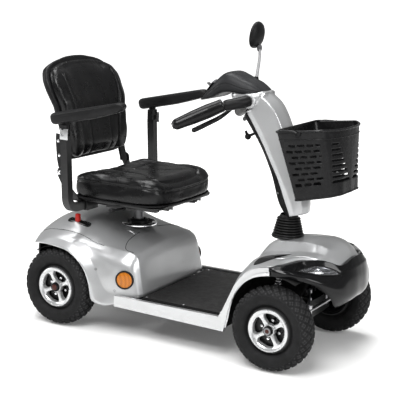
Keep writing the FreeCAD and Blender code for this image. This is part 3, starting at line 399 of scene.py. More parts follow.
def clean(o, weld=0.02):
    """Weld doubles (mm), drop slivers and make the normals consistent."""
    bm = bmesh.new()
    bm.from_mesh(o.data)
    bmesh.ops.remove_doubles(bm, verts=bm.verts, dist=weld * MM)
    bm.faces.ensure_lookup_table()
    slivers = [f for f in bm.faces if f.calc_area() < 1e-12]
    if slivers:
        bmesh.ops.delete(bm, geom=slivers, context="FACES_ONLY")
    bmesh.ops.recalc_face_normals(bm, faces=bm.faces)
    bm.to_mesh(o.data)
    bm.free()


def weld_and_cap(o, boundary_only=False):
    """Weld a lofted body and close its open ends."""
    bm = bmesh.new()
    bm.from_mesh(o.data)
    bmesh.ops.remove_doubles(bm, verts=bm.verts, dist=0.05 * MM)
    edges = [e for e in bm.edges if e.is_boundary] if boundary_only else bm.edges
    bmesh.ops.holes_fill(bm, edges=edges, sides=0)
    bmesh.ops.recalc_face_normals(bm, faces=bm.faces)
    bm.to_mesh(o.data)
    bm.free()
    smooth(o.data)


def face_out(o, centre):
    """Turn an open sheet so that its normals point away from centre (mm)."""
    middle = Vector(centre) * MM
    if sum((p.center - middle).dot(p.normal) * p.area for p in o.data.polygons) < 0:
        o.data.flip_normals()


def add_wall(o, thickness):
    wall = o.modifiers.new("wall", "SOLIDIFY")
    wall.thickness = thickness * MM
    wall.offset = -1
    wall.use_even_offset = False


def sheet(name, grid, mat, body, *nodes, centre=None, wall=2.6, sharp=35.0, wrap=False):
    """Sheet over a grid of points, facing away from centre, thickened inwards by wall."""
    o = build(name, grid_mesh(grid, wrap_u=wrap), mat, sharp=0)
    clean(o)
    if centre is not None:
        face_out(o, centre)
    mark_sharp(o, sharp)
    if wall:
        add_wall(o, wall)
    return place(o, body, *nodes)


def closed_shell(name, grid, mat, body, *nodes):
    o = build(name, grid_mesh(grid), mat, sharp=0)
    weld_and_cap(o)
    mark_sharp(o, 50)
    return place(o, body, *nodes)


# ================================================================ rays onto surfaces
def surface_of(o):
    return BVHTree.FromObject(o, bpy.context.evaluated_depsgraph_get())


def cast(bvh, start, direction, lift):
    """(point in mm lifted off the surface, normal facing the ray), or None on a miss."""
    hit = bvh.ray_cast(Vector(start) * MM, Vector(direction).normalized())
    if hit[0] is None:
        return None
    normal = hit[1] if hit[1].dot(Vector(direction)) < 0 else -hit[1]
    return np.array(hit[0] + normal * lift * MM) / MM, np.array(normal)


def hits(bvh, starts, direction, lift):
    """The rays that hit, as (point, normal) pairs."""
    found = [cast(bvh, start, direction, lift) for start in starts]
    return [hit for hit in found if hit is not None]


def drape(bvh, starts, direction, lift):
    return np.array([point for point, _ in hits(bvh, starts, direction, lift)])


# ================================================================ curves and grids
def curve(points, steps):
    """Catmull-Rom curve through the points, with a number of steps per span."""
    P = np.array(points, float)
    if len(P) == 2:
        t = np.linspace(0, 1, steps + 1)[:, None]
        return P[0] * (1 - t) + P[1] * t
    Q = np.vstack([2 * P[0] - P[1], P, 2 * P[-1] - P[-2]])
    t = np.linspace(0, 1, steps, endpoint=False)[:, None]
    out = []
    for p0, p1, p2, p3 in zip(Q, Q[1:], Q[2:], Q[3:]):
        out.append(0.5 * ((2 * p1) + (-p0 + p2) * t + (2 * p0 - 5 * p1 + 4 * p2 - p3) * t ** 2
                          + (-p0 + 3 * p1 - 3 * p2 + p3) * t ** 3))
    out.append(P[-1:])
    return np.vstack(out)


def close_loop(points):
    return np.vstack([points, points[:1]])


def resample(points, count, closed=False):
    """Evenly spaced points along a polyline."""
    P = np.array(points, float)
    if closed:
        P = close_loop(P)
    along = np.r_[0, np.cumsum(np.linalg.norm(np.diff(P, axis=0), axis=1))]
    t = np.linspace(0, along[-1], count + 1)[:-1] if closed else np.linspace(0, along[-1], count)
    return np.stack([np.interp(t, along, P[:, k]) for k in range(P.shape[1])], 1)


def with_mirror(half, flip, first=0):
    """A half line followed by its mirror image, without repeating the shared point.

    first=1 also leaves out the starting point, which makes a closed loop.
    """
    return np.vstack([half, (half[first:-1] * np.array(flip))[::-1]])


def smooth_lines(stations, steps):
    """Lines running lengthwise through matching points of all the stations."""
    return [curve(line, steps) for line in zip(*stations)]


def section_curve(points, steps, creases):
    """One section: smooth runs between creases {point index: radius}, fillets at them."""
    cuts = [0, *sorted(creases), len(points) - 1]
    runs = [curve(points[a:b + 1], steps) for a, b in zip(cuts, cuts[1:])]
    out = [runs[0]]
    for cut, run in zip(cuts[1:-1], runs[1:]):
        before = out[-1]
        corner = before[-1].copy()
        ends = []
        for neighbour in (before[-2], run[1]):
            reach = np.linalg.norm(neighbour - corner)
            radius = min(creases[cut], reach * 0.48)
            ends.append(corner + (neighbour - corner) / max(reach, 1e-9) * radius)
        t = np.linspace(0, 1, 4)[:, None]
        fillet = (1 - t) ** 2 * ends[0] + 2 * t * (1 - t) * corner + t ** 2 * ends[1]
        out[-1] = np.vstack([before[:-1], fillet])
        out.append(run[1:])
    return np.vstack(out)


def loft(lines, steps, creases={}):
    """Grid [station, point across, xyz] over lengthwise lines."""
    return np.array([section_curve(np.array(section), steps, creases)
                     for section in zip(*lines)])


def mirror_half(grid):
    """Grid whose first column lies on y = 0, extended over both sides."""
    other = grid[:, ::-1].copy()
    other[..., 1] *= -1
    return np.concatenate([other[:, :-1], grid], axis=1)


def on_side(points, side):
    out = points.copy()
    out[..., 1] *= side
    return out


def grid_faces(nu, nv, wrap_u=False, wrap_v=False):
    faces = []
    for i in range(nu if wrap_u else nu - 1):
        for j in range(nv if wrap_v else nv - 1):
            k, following = (j + 1) % nv, ((i + 1) % nu) * nv
            faces.append((i * nv + j, i * nv + k, following + k, following + j))
    return faces


def grid_mesh(grid, wrap_u=False, wrap_v=False):
    grid = np.array(grid, float)
    return grid.reshape(-1, 3).tolist(), grid_faces(*grid.shape[:2], wrap_u, wrap_v)


def superellipse(angle, exponent):
    """Cosine and sine, squared up by the exponent."""
    power = 2 / exponent
    c, s = math.cos(angle), math.sin(angle)
    return abs(c) ** power * np.sign(c), abs(s) ** power * np.sign(s)


# ================================================================ simple solids
def revolve(profile, sides, axis, centre=(0, 0, 0)):
    """Turn (radius, distance along axis) points round the y or z axis."""
    verts = []
    for k in range(sides):
        a = 2 * math.pi * k / sides
        for r, along in profile:
            u, v = r * math.cos(a), r * math.sin(a)
            p = (u, along, v) if axis == "y" else (u, v, along)
            verts.append((p[0] + centre[0], p[1] + centre[1], p[2] + centre[2]))
    return verts, grid_faces(sides, len(profile), wrap_u=True)


def revolve_outward(profile, sides, side, x, y, z):
    """Turn (radius, distance outboard of y) points round a crosswise axis on one side."""
    return revolve([(r, side * (y + out)) for r, out in profile], sides, "y", (x, 0, z))


def revolve_at(profile, sides, point, direction):
    """Turn a profile round an axis that starts at point and runs along direction."""
    turn = Vector(UP).rotation_difference(Vector(direction)).to_matrix()
    verts, faces = revolve(profile, sides, "z")
    return [tuple(turn @ Vector(v) + Vector(point)) for v in verts], faces


def bolt(point, direction, radius, height):
    """Round bolt head with a recessed middle."""
    profile = [(0.01, height * 0.35), (radius * 0.42, height * 0.35), (radius * 0.46, height),
               (radius * 0.75, height * 0.92), (radius, height * 0.45), (radius, 0), (0.01, 0)]
    return revolve_at(profile, 14, point, direction)


def tube(path, radius, sides, caps=True):
    """Round bar along a path; radius is one value or one per point."""
    P = np.array(path, float)
    T = np.gradient(P, axis=0)
    T /= np.linalg.norm(T, axis=1)[:, None] + 1e-12
    up = np.array([0, 0, 1.0]) if abs(T[0][2]) < 0.9 else np.array([0, 1.0, 0])
    first = np.cross(T[0], up)
    N = [first / np.linalg.norm(first)]
    for tangent in T[1:]:
        normal = N[-1] - tangent * np.dot(N[-1], tangent)
        N.append(normal / (np.linalg.norm(normal) + 1e-12))
    N = np.array(N)
    B = np.cross(T, N)
    R = np.full(len(P), radius, float) if np.isscalar(radius) else np.array(radius, float)
    verts = []
    for i in range(len(P)):
        for k in range(sides):
            a = 2 * math.pi * k / sides
            verts.append(P[i] + R[i] * (math.cos(a) * N[i] + math.sin(a) * B[i]))
    faces = grid_faces(len(P), sides, wrap_v=True)
    if caps:
        start, last = len(verts), (len(P) - 1) * sides
        verts += [P[0], P[-1]]
        for k in range(sides):
            faces.append((start, (k + 1) % sides, k))
            faces.append((start + 1, last + k, last + (k + 1) % sides))
    return verts, faces


def join(parts):
    """Merge (verts, faces[, material index]) parts into one mesh."""
    verts, faces, slots = [], [], []
    for part_verts, part_faces, *slot in parts:
        offset = len(verts)
        verts += [tuple(p) for p in part_verts]
        faces += [tuple(i + offset for i in f) for f in part_faces]
        slots += (slot or [0]) * len(part_faces)
    return verts, faces, slots


def rounded_plan(x0, x1, y0, y1, r, steps):
    points = []
    corners = ((x1 - r, y1 - r, 0), (x0 + r, y1 - r, 90), (x0 + r, y0 + r, 180),
               (x1 - r, y0 + r, 270))
    for cx, cy, start in corners:
        for k in range(steps + 1):
            a = math.radians(start + 90 * k / steps)
            points.append((cx + r * math.cos(a), cy + r * math.sin(a)))
    return points


def block(x0, x1, y0, y1, z0, z1, r):
    """Small block with rounded plan and softened top and bottom; y0 and y1 in either order."""
    y0, y1 = sorted((y0, y1))
    r = min(r, (x1 - x0) / 2.2, (y1 - y0) / 2.2, (z1 - z0) / 2.2)
    levels = ((z0, r * 0.7), (z0 + r * 0.3, r * 0.2), (z0 + r, 0),
              (z1 - r, 0), (z1 - r * 0.3, r * 0.2), (z1, r * 0.7))
    rings = [[(x, y, z) for x, y in rounded_plan(x0 + inset, x1 - inset, y0 + inset, y1 - inset,
                                                 r, 4)] for z, inset in levels]
    verts, faces = grid_mesh(rings, wrap_v=True)
    n = len(rings[0])
    faces.append(tuple(range(n - 1, -1, -1)))
    faces.append(tuple((len(rings) - 1) * n + k for k in range(n)))
    return verts, faces


def well_liner(name, side, axle_x, arc, steps, rings, centre_y):
    """Wheel-well liner swept round the axle over an arc in degrees; rings are (y, radius)."""
    angles = np.radians(np.linspace(*arc, steps))
    grid = [[(axle_x + r * math.cos(a), side * y, AXLE_Z + r * math.sin(a)) for y, r in rings]
            for a in angles]
    sheet(name, grid, "well_black", "chassis", centre=(axle_x, side * centre_y, AXLE_Z),
          wall=1.4, sharp=40)


# ================================================================ rear shroud
# stations from the tail forward; (x, y, z) points from the centre line out to the arch edge
SHROUD = [
    [(-600, 0, 294), (-599, 95, 294), (-594, 160, 294), (-584, 210, 294),
     (-576, 232, 294), (-570, 246, 294), (-563, 262, 294), (-552, 276, 296)],
    [(-598, 0, 325), (-596, 96, 322), (-589, 163, 318), (-576, 214, 312),
     (-567, 236, 308), (-560, 250, 305), (-552, 268, 302), (-540, 284, 299)],
    [(-580, 0, 352), (-576, 98, 348), (-566, 166, 340), (-551, 218, 328),
     (-541, 241, 319), (-534, 256, 314), (-528, 272, 308), (-522, 289, 301)],
    [(-540, 0, 377), (-536, 100, 371), (-526, 168, 358), (-510, 221, 340),
     (-503, 243, 331), (-500, 258, 325), (-497, 273, 318), (-494, 290, 302)],
    [(-460, 0, 399), (-458, 100, 392), (-454, 168, 374), (-450, 216, 346),
     (-450, 240, 336), (-450, 255, 329), (-450, 270, 321), (-450, 290, 299)],
    [(-385, 0, 389), (-385, 100, 381), (-384, 166, 362), (-383, 214, 338),
     (-386, 238, 327), (-389, 252, 320), (-392, 266, 311), (-399, 290, 290)],
    [(-325, 0, 367), (-325, 100, 360), (-324, 166, 344), (-324, 213, 317),
     (-330, 238, 303), (-336, 251, 292), (-343, 264, 281), (-355, 290, 264)],
    [(-262, 0, 346), (-262, 100, 340), (-262, 168, 329), (-264, 212, 307),
     (-275, 240, 287), (-288, 252, 268), (-303, 263, 246), (-323, 290, 229)],
    [(-212, 0, 334), (-212, 100, 328), (-213, 170, 319), (-218, 212, 303),
     (-235, 242, 272), (-256, 252, 240), (-281, 262, 206), (-304, 290, 187)],
    [(-170, 0, 319), (-170, 100, 314), (-171, 172, 307), (-176, 209, 297),
     (-196, 241, 262), (-222, 252, 222), (-262, 262, 174), (-297, 289, 150)],
    [(-146, 0, 294), (-146, 100, 289), (-147, 174, 284), (-150, 205, 276),
     (-164, 236, 244), (-192, 250, 200), (-242, 261, 157), (-287, 287, 120)],
    [(-133, 0, 226), (-133, 100, 223), (-133, 176, 220), (-135, 208, 216),
     (-148, 233, 200), (-178, 248, 170), (-222, 260, 151), (-250, 276, 108)],
    [(-120, 0, 147), (-120, 100, 147), (-120, 178, 147), (-121, 210, 147),
     (-133, 232, 147), (-166, 248, 148), (-206, 258, 150), (-206, 262, 116)],
]
SHROUD_STEPS = 6
shroud_half = loft(smooth_lines(SHROUD, SHROUD_STEPS), 5, {3: 7.0, 6: 3.0})
shroud = sheet("rear_shroud_skin", mirror_half(shroud_half), "silver", "chassis", "rear_shroud",
               centre=(-380, 0, 200), sharp=50)
SHROUD_SURFACE = surface_of(shroud)


def rear_arch_lips():
    """Narrow lips rolled under the arch edges, up to the eleventh station."""
    edge = shroud_half[:, -1]
    away = edge - np.array([REAR_AXLE_X, 0, AXLE_Z])
    away[:, 1] = 0
    away /= np.maximum(np.linalg.norm(away, axis=1)[:, None], 1)
    rows = []
    for sideways, radial in ((0, 0), (-3, -1.75), (-10, -2.8)):
        row = edge + away * radial
        row[:, 1] += sideways
        rows.append(row)
    lip = np.stack(rows, 1)[:SHROUD_STEPS * 10 + 1]
    for side, label in SIDES:
        sheet("rear_arch_lip_" + label, on_side(lip, side), "silver_trim", "chassis",
              centre=(REAR_AXLE_X, side * 250, AXLE_Z), wall=1.6)


rear_arch_lips()

REAR_WELL = [(286, 152), (262, 152), (236, 152), (212, 152), (200, 148),  # roof
             (197.5, 140), (197.5, 118), (197.5, 90), (197.5, 60)]  # inner wall
for side, label in SIDES:
    well_liner("rear_well_liner_" + label, side, REAR_AXLE_X, (-12, 126), 40, REAR_WELL, 260)

FRONT_SEAM = [(-238, 62), (-232, 110), (-224, 160), (-210, 196), (-192, 206), (-172, 202)]
SIDE_SEAM = [(-560, 214), (-500, 222), (-440, 222), (-380, 219), (-330, 217), (-290, 214)]


def shroud_seam(name, plan, side, radius):
    """Dark seam line laid on the shroud from above; plan is (x, y)."""
    line = curve([(x, side * y) for x, y in plan], 14)
    path = drape(SHROUD_SURFACE, [(x, y, 460) for x, y in line], DOWN, 0.15)
    add(name, tube(path, radius, 6), "well_black", "chassis")


for side, label in SIDES:
    shroud_seam("shroud_seam_front_" + label, FRONT_SEAM, side, 0.9)
    shroud_seam("shroud_seam_side_" + label, SIDE_SEAM, side, 0.7)
    starts = [(-292, side * 330, 232), (-214, side * 330, 164)]
    screws = [bolt(point, normal, radius=5.0, height=2.4)
              for point, normal in hits(SHROUD_SURFACE, starts, (0, -side, 0), 0.2)]
    add("shroud_screws_" + label, join(screws), "steel", "chassis")


def freewheel_slot():
    """Dark slot with a raised rim, on the right of the shroud's top; the dark is a sheet laid on
    the skin, painted shade for the slot's depth.
    """
    plan = rounded_plan(-476, -384, -180, -160, 8, 6)
    rim = close_loop(drape(SHROUD_SURFACE, [(x, y, 500) for x, y in plan], DOWN, 0.8))
    add("freewheel_slot_rim", tube(rim, 2.4, 8, caps=False), "black_abs", "chassis")
    # dark sheet on the skin: painted shade inside the slot
    slot_shade = [drape(SHROUD_SURFACE, [(-473 + 86 * i / 11, -177 + 14 * j / 3, 500)
                                         for j in range(4)], DOWN, 0.25) for i in range(12)]
    sheet("freewheel_slot_floor", slot_shade, "well_black", "chassis", wall=0)


freewheel_slot()

# (radius, height) from the outer skirt in to the seat post; the first five bands are chrome
POST_RING = [(70, -3), (70, 1), (67, 4.5), (61, 5.5), (57, 3.5), (52, 1.0), (46, -1.0),
             (41, -0.5), (39, 3), (38, 11), (34, 14), (26, 15), (24, 13)]
verts, faces = revolve(POST_RING, 72, "z", (-283, 0, 357))
slots = [0 if i % (len(POST_RING) - 1) < 5 else 1 for i in range(len(faces))]
ring = build("post_ring", (verts, faces, slots), ["chrome", "black_abs"], sharp=40)
clean(ring)
place(ring, "chassis", "seat_collar")

BEZEL = [(33.5, -3), (33.5, 3.5), (32, 5.4), (29.5, 5.8), (28.3, 4.6), (28.3, 2.2), (27.8, 2.2)]
DOME = [(0.01, 5.2), (8, 5.1), (15, 4.8), (22, 4.2), (28.6, 3.0), (28.6, 0)]
for side, label in SIDES:
    seat = cast(SHROUD_SURFACE, (-179, side * 340, 207), (0, -side, 0), 0)
    add("reflector_bezel_" + label, revolve_at(BEZEL, 56, *seat), "black_abs", "chassis")
    add("reflector_dome_" + label, revolve_at(DOME, 48, *seat), "reflector", "chassis",
        *on_left(side, "side_reflectors"))

# ================================================================ rear bumper
# (height, x offset) of the lines round the tail, from the top edge to the tucked bottom
BUMPER_LINES = [(297, 12), (293, 4), (276, -2), (246, -3), (222, 0), (202, 6), (194, 20),
                (192, 40)]
BUMPER_HALF_WIDTH = 262
BUMPER_X = -606


def rear_bumper():
    half = np.array([[(BUMPER_X + dx + 62 * t ** 5 + 6 * t ** 2, BUMPER_HALF_WIDTH * t,
                       z + 6 * t ** 2) for t in np.linspace(0, 1, 12)]
                     for z, dx in BUMPER_LINES])
    grid = [curve(section, 3) for section in mirror_half(half).transpose(1, 0, 2)]
    return sheet("rear_bumper_skin", grid, "black_abs", "chassis", "rear_bumper",
                 centre=(-540, 0, 245), wall=3.0, sharp=50)


BUMPER_SURFACE = surface_of(rear_bumper())
for k, z in enumerate((232, 262)):
    path = drape(BUMPER_SURFACE, [(-700, y, z) for y in np.linspace(-85, 85, 24)], (1, 0, 0), 0.2)
    add("rear_bumper_groove_%d" % k, tube(path, 1.4, 6), "well_black", "chassis")


def tail_lamp(side, label):
    """Bulged lens laid on the bumper, with a round bezel."""
    grid = []
    for i in range(17):
        row = []
        for j in range(9):
            u, v = i / 16 * 2 - 1, j / 8 * 2 - 1
            start = (-700, side * (135 + 37 * u), 257 + 15.5 * v * (1 - 0.25 * u * u))
            lift = 0.8 + 4.2 * (1 - u ** 4) * (1 - v ** 4)
            row.append(cast(BUMPER_SURFACE, start, (1, 0, 0), lift)[0])
        grid.append(row)
    grid = np.array(grid)
    sheet("tail_lamp_lens_" + label, grid, "lens_red", "chassis", *on_left(side, "tail_lamps"),
          centre=(-560, side * 135, 257), wall=1.2)
    edge = np.vstack([grid[:, 0], grid[-1, 1:], grid[::-1, -1][1:], grid[0, ::-1][1:]])
    add("tail_lamp_bezel_" + label, tube(edge, 1.9, 8, caps=False), "black_abs", "chassis")


for side, label in SIDES:
    tail_lamp(side, label)

# ================================================================ front cowl
# stations from the floor up and forward; points 0-3 hood, 3-5 fender, 5-6 arch trim
COWL = [
    [(214, 0, 150), (214, 66, 150), (214, 120, 150), (215, 190, 150), (218, 240, 135),
     (222, 256, 118), (241, 268, 115)],
    [(224, 0, 195), (224, 66, 195), (225, 120, 194), (226, 190, 190), (229, 242, 176),
     (232, 256, 160), (250, 268, 152)],
    [(238, 0, 258), (239, 66, 258), (240, 120, 256), (241, 190, 248), (243, 242, 230),
     (246, 256, 214), (266, 268, 228)],
    [(255, 0, 325), (262, 66, 330), (268, 120, 322), (266, 190, 308), (264, 240, 286),
     (268, 256, 270), (298, 268, 278)],
    [(285, 0, 374), (306, 66, 385), (300, 98, 354), (299, 185, 346), (299, 238, 331),
     (306, 256, 318), (330, 268, 303)],
    [(345, 0, 391), (352, 67, 394), (352, 97, 363), (346, 185, 358), (344, 238, 348),
     (350, 256, 342), (360, 268, 315)],
    [(395, 0, 402), (398, 69, 399), (396, 97, 368), (396, 180, 362), (396, 236, 355),
     (393, 256, 352), (395, 268, 322)],
]
# further stations of the hood alone, then of the fender's outer two lines
HOOD_NOSE = [
    [(440, 0, 412), (440, 71, 402), (432, 99, 374), (428, 152, 368)],
    [(490, 0, 413), (487, 76, 400), (474, 103, 379), (465, 143, 371)],
    [(533, 0, 403), (522, 72, 391), (512, 106, 377), (505, 137, 367)],
    [(558, 0, 386), (545, 54, 380), (538, 94, 368), (531, 118, 358.5)],
    [(573, 0, 358), (572, 40, 354), (569, 68, 346), (565, 84, 341)],
]
FENDER_TIP = [[(415, 206, 356), (411, 217, 353.5)], [(453, 162, 363.5), (450, 165, 362.5)],
              [(505, 137.1, 366.8), (505, 137.2, 366.6)]]
COWL_STEPS = 6

hood_lines = smooth_lines([row[:4] for row in COWL] + HOOD_NOSE, COWL_STEPS)
fender_inner = hood_lines[3][:COWL_STEPS * (len(COWL) + len(FENDER_TIP) - 1) + 1]
fender_lines = [fender_inner] + smooth_lines([row[4:6] for row in COWL] + FENDER_TIP, COWL_STEPS)
trim_inner = fender_lines[2][:COWL_STEPS * (len(COWL) - 1) + 1]
trim_outer = smooth_lines([row[6:] for row in COWL], COWL_STEPS)[0]
trim_middle = trim_inner * 0.45 + trim_outer * 0.55 + np.array([0, 4.5, 2.0])

hood = sheet("front_hood_skin", mirror_half(loft(hood_lines, 6, {1: 7.0, 2: 4.0})), "silver",
             "chassis", "front_cowl", centre=(400, 0, 200), sharp=50)
HOOD_SURFACE = surface_of(hood)
fender_grid = loft(fender_lines, 5, {1: 6.0})
trim_grid = loft([trim_inner, trim_middle, trim_outer], 5)

INSERT_SPINE = [(291, 239), (297, 224), (307, 199), (324, 172), (344, 148), (380, 122)]  # x, y
INSERT_HALF_WIDTH = 26.0


def shoulder_insert(side, label, fender_surface):
    """Dark almond laid on whichever of hood and fender is higher."""
    rows = []
    for t in np.linspace(0, 1, 30):
        spine = [np.interp(t, np.linspace(0, 1, 6), [p[k] for p in INSERT_SPINE]) for k in (0, 1)]
        width = INSERT_HALF_WIDTH * (
            math.sin(math.pi * min(1, t * 1.02)) ** 0.75 if 0 < t < 1 else 0.02)
        row = []
        for v in np.linspace(-1, 1, 9):
            start = (spine[0] - 0.80 * width * v, side * (spine[1] - 0.60 * width * v), 470)
            best = None
            for surface in (HOOD_SURFACE, fender_surface):
                hit = cast(surface, start, (0.25, 0, -1), 0.5 + 0.5 * (1 - v * v))
                if hit is not None and hit[0][2] > 280 and (best is None or hit[0][2] > best[2]):
                    best = hit[0]
            row.append(best)
        if all(point is not None for point in row):
            rows.append(row)
    sheet("shoulder_insert_" + label, rows, "gloss_black", "chassis", wall=0)


FRONT_WELL = [(262, 178), (240, 180), (200, 180), (160, 180), (128, 176),  # roof
              (124, 150), (124, 118), (124, 84)]  # inner wall
SPRING_X, SPRING_Y, SPRING_Z = 376.0, 156.0, 234
SPRING_HEIGHT, COIL_RADIUS, COIL_TURNS, COIL_STEPS = 62, 13.5, 7, 14
SPRING_CUP = [(0.1, 234), (16, 234), (17.5, 232), (17.5, 228), (0.1, 228)]


def front_spring(side, label):
    """Coil spring on a rod, between a turned cup and a cast block."""
    coil = []
    count = COIL_TURNS * COIL_STEPS
    for k in range(count + 1):
        a = 2 * math.pi * k / COIL_STEPS
        coil.append((SPRING_X + COIL_RADIUS * math.cos(a),
                     side * (SPRING_Y + COIL_RADIUS * math.sin(a)),
                     SPRING_Z + SPRING_HEIGHT * k / count))
    y = side * SPRING_Y
    parts = [
        (*tube(coil, 2.7, 8), 0),
        (*revolve(SPRING_CUP, 24, "z", (SPRING_X, y, 0)), 1),
        (*tube([(SPRING_X, y, 230), (SPRING_X, y, 300)], 6.5, 16), 1),
        (*block(SPRING_X - 17, SPRING_X + 17, y - 15, y + 15, 297, 312, 4), 2)]
    add("front_spring_" + label, join(parts), ["chrome", "dark_steel", "cast_grey"], "chassis")


for side, label in SIDES:
    fender = sheet("front_fender_skin_" + label, on_side(fender_grid, side), "silver", "chassis",
                   centre=(400, 0, 200), sharp=50)
    sheet("front_arch_trim_" + label, on_side(trim_grid, side), "silver_trim", "chassis",
          centre=(400, 0, 180), sharp=60)
    shoulder_insert(side, label, surface_of(fender))
    well_liner("front_well_liner_" + label, side, FRONT_AXLE_X, (64, 190), 36, FRONT_WELL, 240)
    front_spring(side, label)

# ================================================================ nose bumper
# stations from the outer corner to the centre line; points: tucked edge under the hood,
# top edge, raised rim, upper lamp ridge, then three down the face to the bottom edge
NOSE = [
    [(388, 246, 345), (394, 256, 350.5), (396, 261, 350), (398, 265, 346), (399, 267, 338),
     (398, 266, 330), (396, 264, 321)],
    [(403, 209, 348), (411, 217, 353), (418, 236, 353.5), (428, 258, 346), (430, 263, 337),
     (429, 262, 329), (426, 260, 321)],
    [(422, 178, 352), (430, 187, 357), (442, 207, 358), (464, 238, 341), (470, 247, 333),
     (471, 246, 325), (468, 243, 316)],
    [(446, 155, 357), (453, 163, 362.5), (468, 174, 364), (492, 190, 344), (505, 222, 327),
     (507, 226, 318), (504, 228, 310)],
    [(496, 129, 360), (505, 137, 366.5), (514, 141, 368), (526, 152, 345), (541, 184, 317),
     (540, 196, 300), (525, 199, 294)],
    [(523, 111, 353), (531, 118, 358.5), (541, 123, 362), (556, 127, 337), (570, 148, 303),
     (570, 160, 280), (549, 166, 268)],
    [(548, 88, 341), (556, 96, 344.5), (567, 102, 351), (580, 104, 334), (592, 112, 296),
     (590, 122, 258), (558, 132, 238)],
    [(557, 78, 337), (566, 83, 341), (580, 80, 352), (594, 78, 334), (603, 76, 288),
     (599, 84, 240), (553, 94, 207)],
    [(561, 40, 351), (572, 41, 354.5), (586, 42, 363), (600, 42, 338), (610, 40, 284),
     (603, 43, 233), (549, 48, 188)],
    [(562, 0, 354), (573, 0, 358.5), (588, 0, 366), (602, 0, 338), (611, 0, 283),
     (603, 0, 233), (547, 0, 186)],
]
nose_half = loft(smooth_lines(NOSE, 6), 6, {1: 1.2, 2: 7.0, 3: 9.0})[::-1].transpose(1, 0, 2)
nose = sheet("nose_skin", mirror_half(nose_half), "gloss_black", "chassis", "nose_bumper",
             centre=(430, 0, 290), wall=3.0, sharp=50)
NOSE_SURFACE = surface_of(nose)

LAMP_CUP = [(12.5, 0.5), (12.5, 3.0), (11.5, 3.6), (8, 1.6), (4, 1.0), (3.6, 4.2), (2, 5.4),
            (0.01, 5.8)]  # radius, height


def headlamp(side, label):
    """Lens-shaped layers laid on the nose: pocket, reflector with flutes and cup, cover, seal."""
    middle = np.array([522.0, side * 166.0, 327.0])
    length_axis = np.array([95.0, side * -112.0, -26.0])
    half_length = np.linalg.norm(length_axis) / 2 - 3
    length_axis /= np.linalg.norm(length_axis)
    out = np.array([0.57, side * 0.32, 0.76])
    out -= length_axis * out.dot(length_axis)
    out /= np.linalg.norm(out)
    height_axis = np.cross(out, length_axis)
    if height_axis[2] < 0:
        height_axis = -height_axis

    def layer(scale, lift, bulge=0.0, nu=28, nv=9):
        rows = []
        for i in range(nu + 1):
            t = -1 + 2 * i / nu
            upper = 18.0 * (1 - abs(t) ** 2.2) + 0.4
            lower = 15.0 * (1 - abs(t) ** 1.8) + 0.4
            row = []
            for j in range(nv):
                v = -1 + 2 * j / (nv - 1)
                height = (upper if v > 0 else lower) * v * scale + 4 * (1 - t * t)
                start = (middle + length_axis * (t * (half_length + 2) * scale)
                         + height_axis * height + out * 70)
                hit = cast(NOSE_SURFACE, start, -out, lift + bulge * (1 - t * t) * (1 - v * v))
                # a ray past the edge of the nose keeps to the lamp's own plane
                row.append(hit[0] if hit is not None else start - out * 62)
            rows.append(row)
        return np.array(rows)

    sheet("headlamp_pocket_" + label, layer(scale=1.13, lift=0.35), "well_black", "chassis",
          wall=0)
    bowl = layer(scale=0.93, lift=0.8, nu=40, nv=15)
    sheet("headlamp_reflector_" + label, bowl, "lamp_bowl", "chassis", wall=0)
    flutes = [tube(bowl[i][2:-2] + out * 0.6, 0.9, 6) for i in range(4, 37, 3)]
    add("headlamp_flutes_" + label, join(flutes), "chrome", "chassis")
    cup, _ = cast(NOSE_SURFACE, middle - length_axis * 6 + out * 70, -out, 0.0)
    add("headlamp_cup_" + label, revolve_at(LAMP_CUP, 28, cup, out), "chrome", "chassis")
    cover = layer(scale=1.0, lift=2.2, bulge=6.5, nu=36, nv=13)
    sheet("headlamp_cover_" + label, cover, "lens_clear", "chassis",
          *on_left(side, "headlamp_lenses"), centre=tuple(middle - out * 40), wall=1.0)
    edge = close_loop(np.vstack([cover[:, 0], cover[::-1, -1]]))
    add("headlamp_seal_" + label, tube(edge, 1.5, 7, caps=False), "black_abs", "chassis")


for side, label in SIDES:
    headlamp(side, label)

# ================================================================ steering boot
BOOT_X = 331
BOOT_PLEATS = 7
BOOT_BOTTOM, BOOT_HEIGHT = 402, 62.0
# one pleat: (offset from its radius, fraction of its height)
PLEAT = [(-6.5, 0), (-1.5, 0.16), (0.8, 0.38), (-0.2, 0.62), (-4.0, 0.80), (-8.5, 0.92)]


def steering_boot():
    """Tapering bellows that rises from the steering up to the tiller."""
    pleat_height = BOOT_HEIGHT / BOOT_PLEATS
    profile = [(56, 394), (57.5, 398), (55, 402)]
    for i in range(BOOT_PLEATS):
        z = BOOT_BOTTOM + BOOT_HEIGHT * i / BOOT_PLEATS
        radius = 53 - 15 * i / BOOT_PLEATS
        profile += [(radius + dr, z + pleat_height * part) for dr, part in PLEAT]
    profile += [(33, 465), (31, 469), (29, 474)]
    boot = build("boot_bellows", revolve(profile, 64, "z", (BOOT_X, 0, 0)), "boot", sharp=0)
    clean(boot)
    add_wall(boot, 1.8)
    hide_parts("boot")
    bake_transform(boot)


steering_boot()

# red tab standing in the slot of the shroud
add("freewheel_tab", block(-446, -429, -178, -163, 362, 398, 3.5), "lever_red",
    "freewheel_lever", sharp=50)

# ================================================================ wheels
TYRE_STEPS = 360
KNOBS_ROUND = 30  # knobs round the tyre
KNOB_HEIGHT = 4.2
TREAD_EDGE = 74  # degrees from the crown, where the knobs end
CORE_RADIUS = 108.5  # centre circle of the tyre's section
# inner tyre bead: (radius, distance outboard, degrees), mirrored on the other edge
BEAD = [(70.5, 30.0, 170), (71.5, 36.0, 165), (75.5, 37.5, 160)]
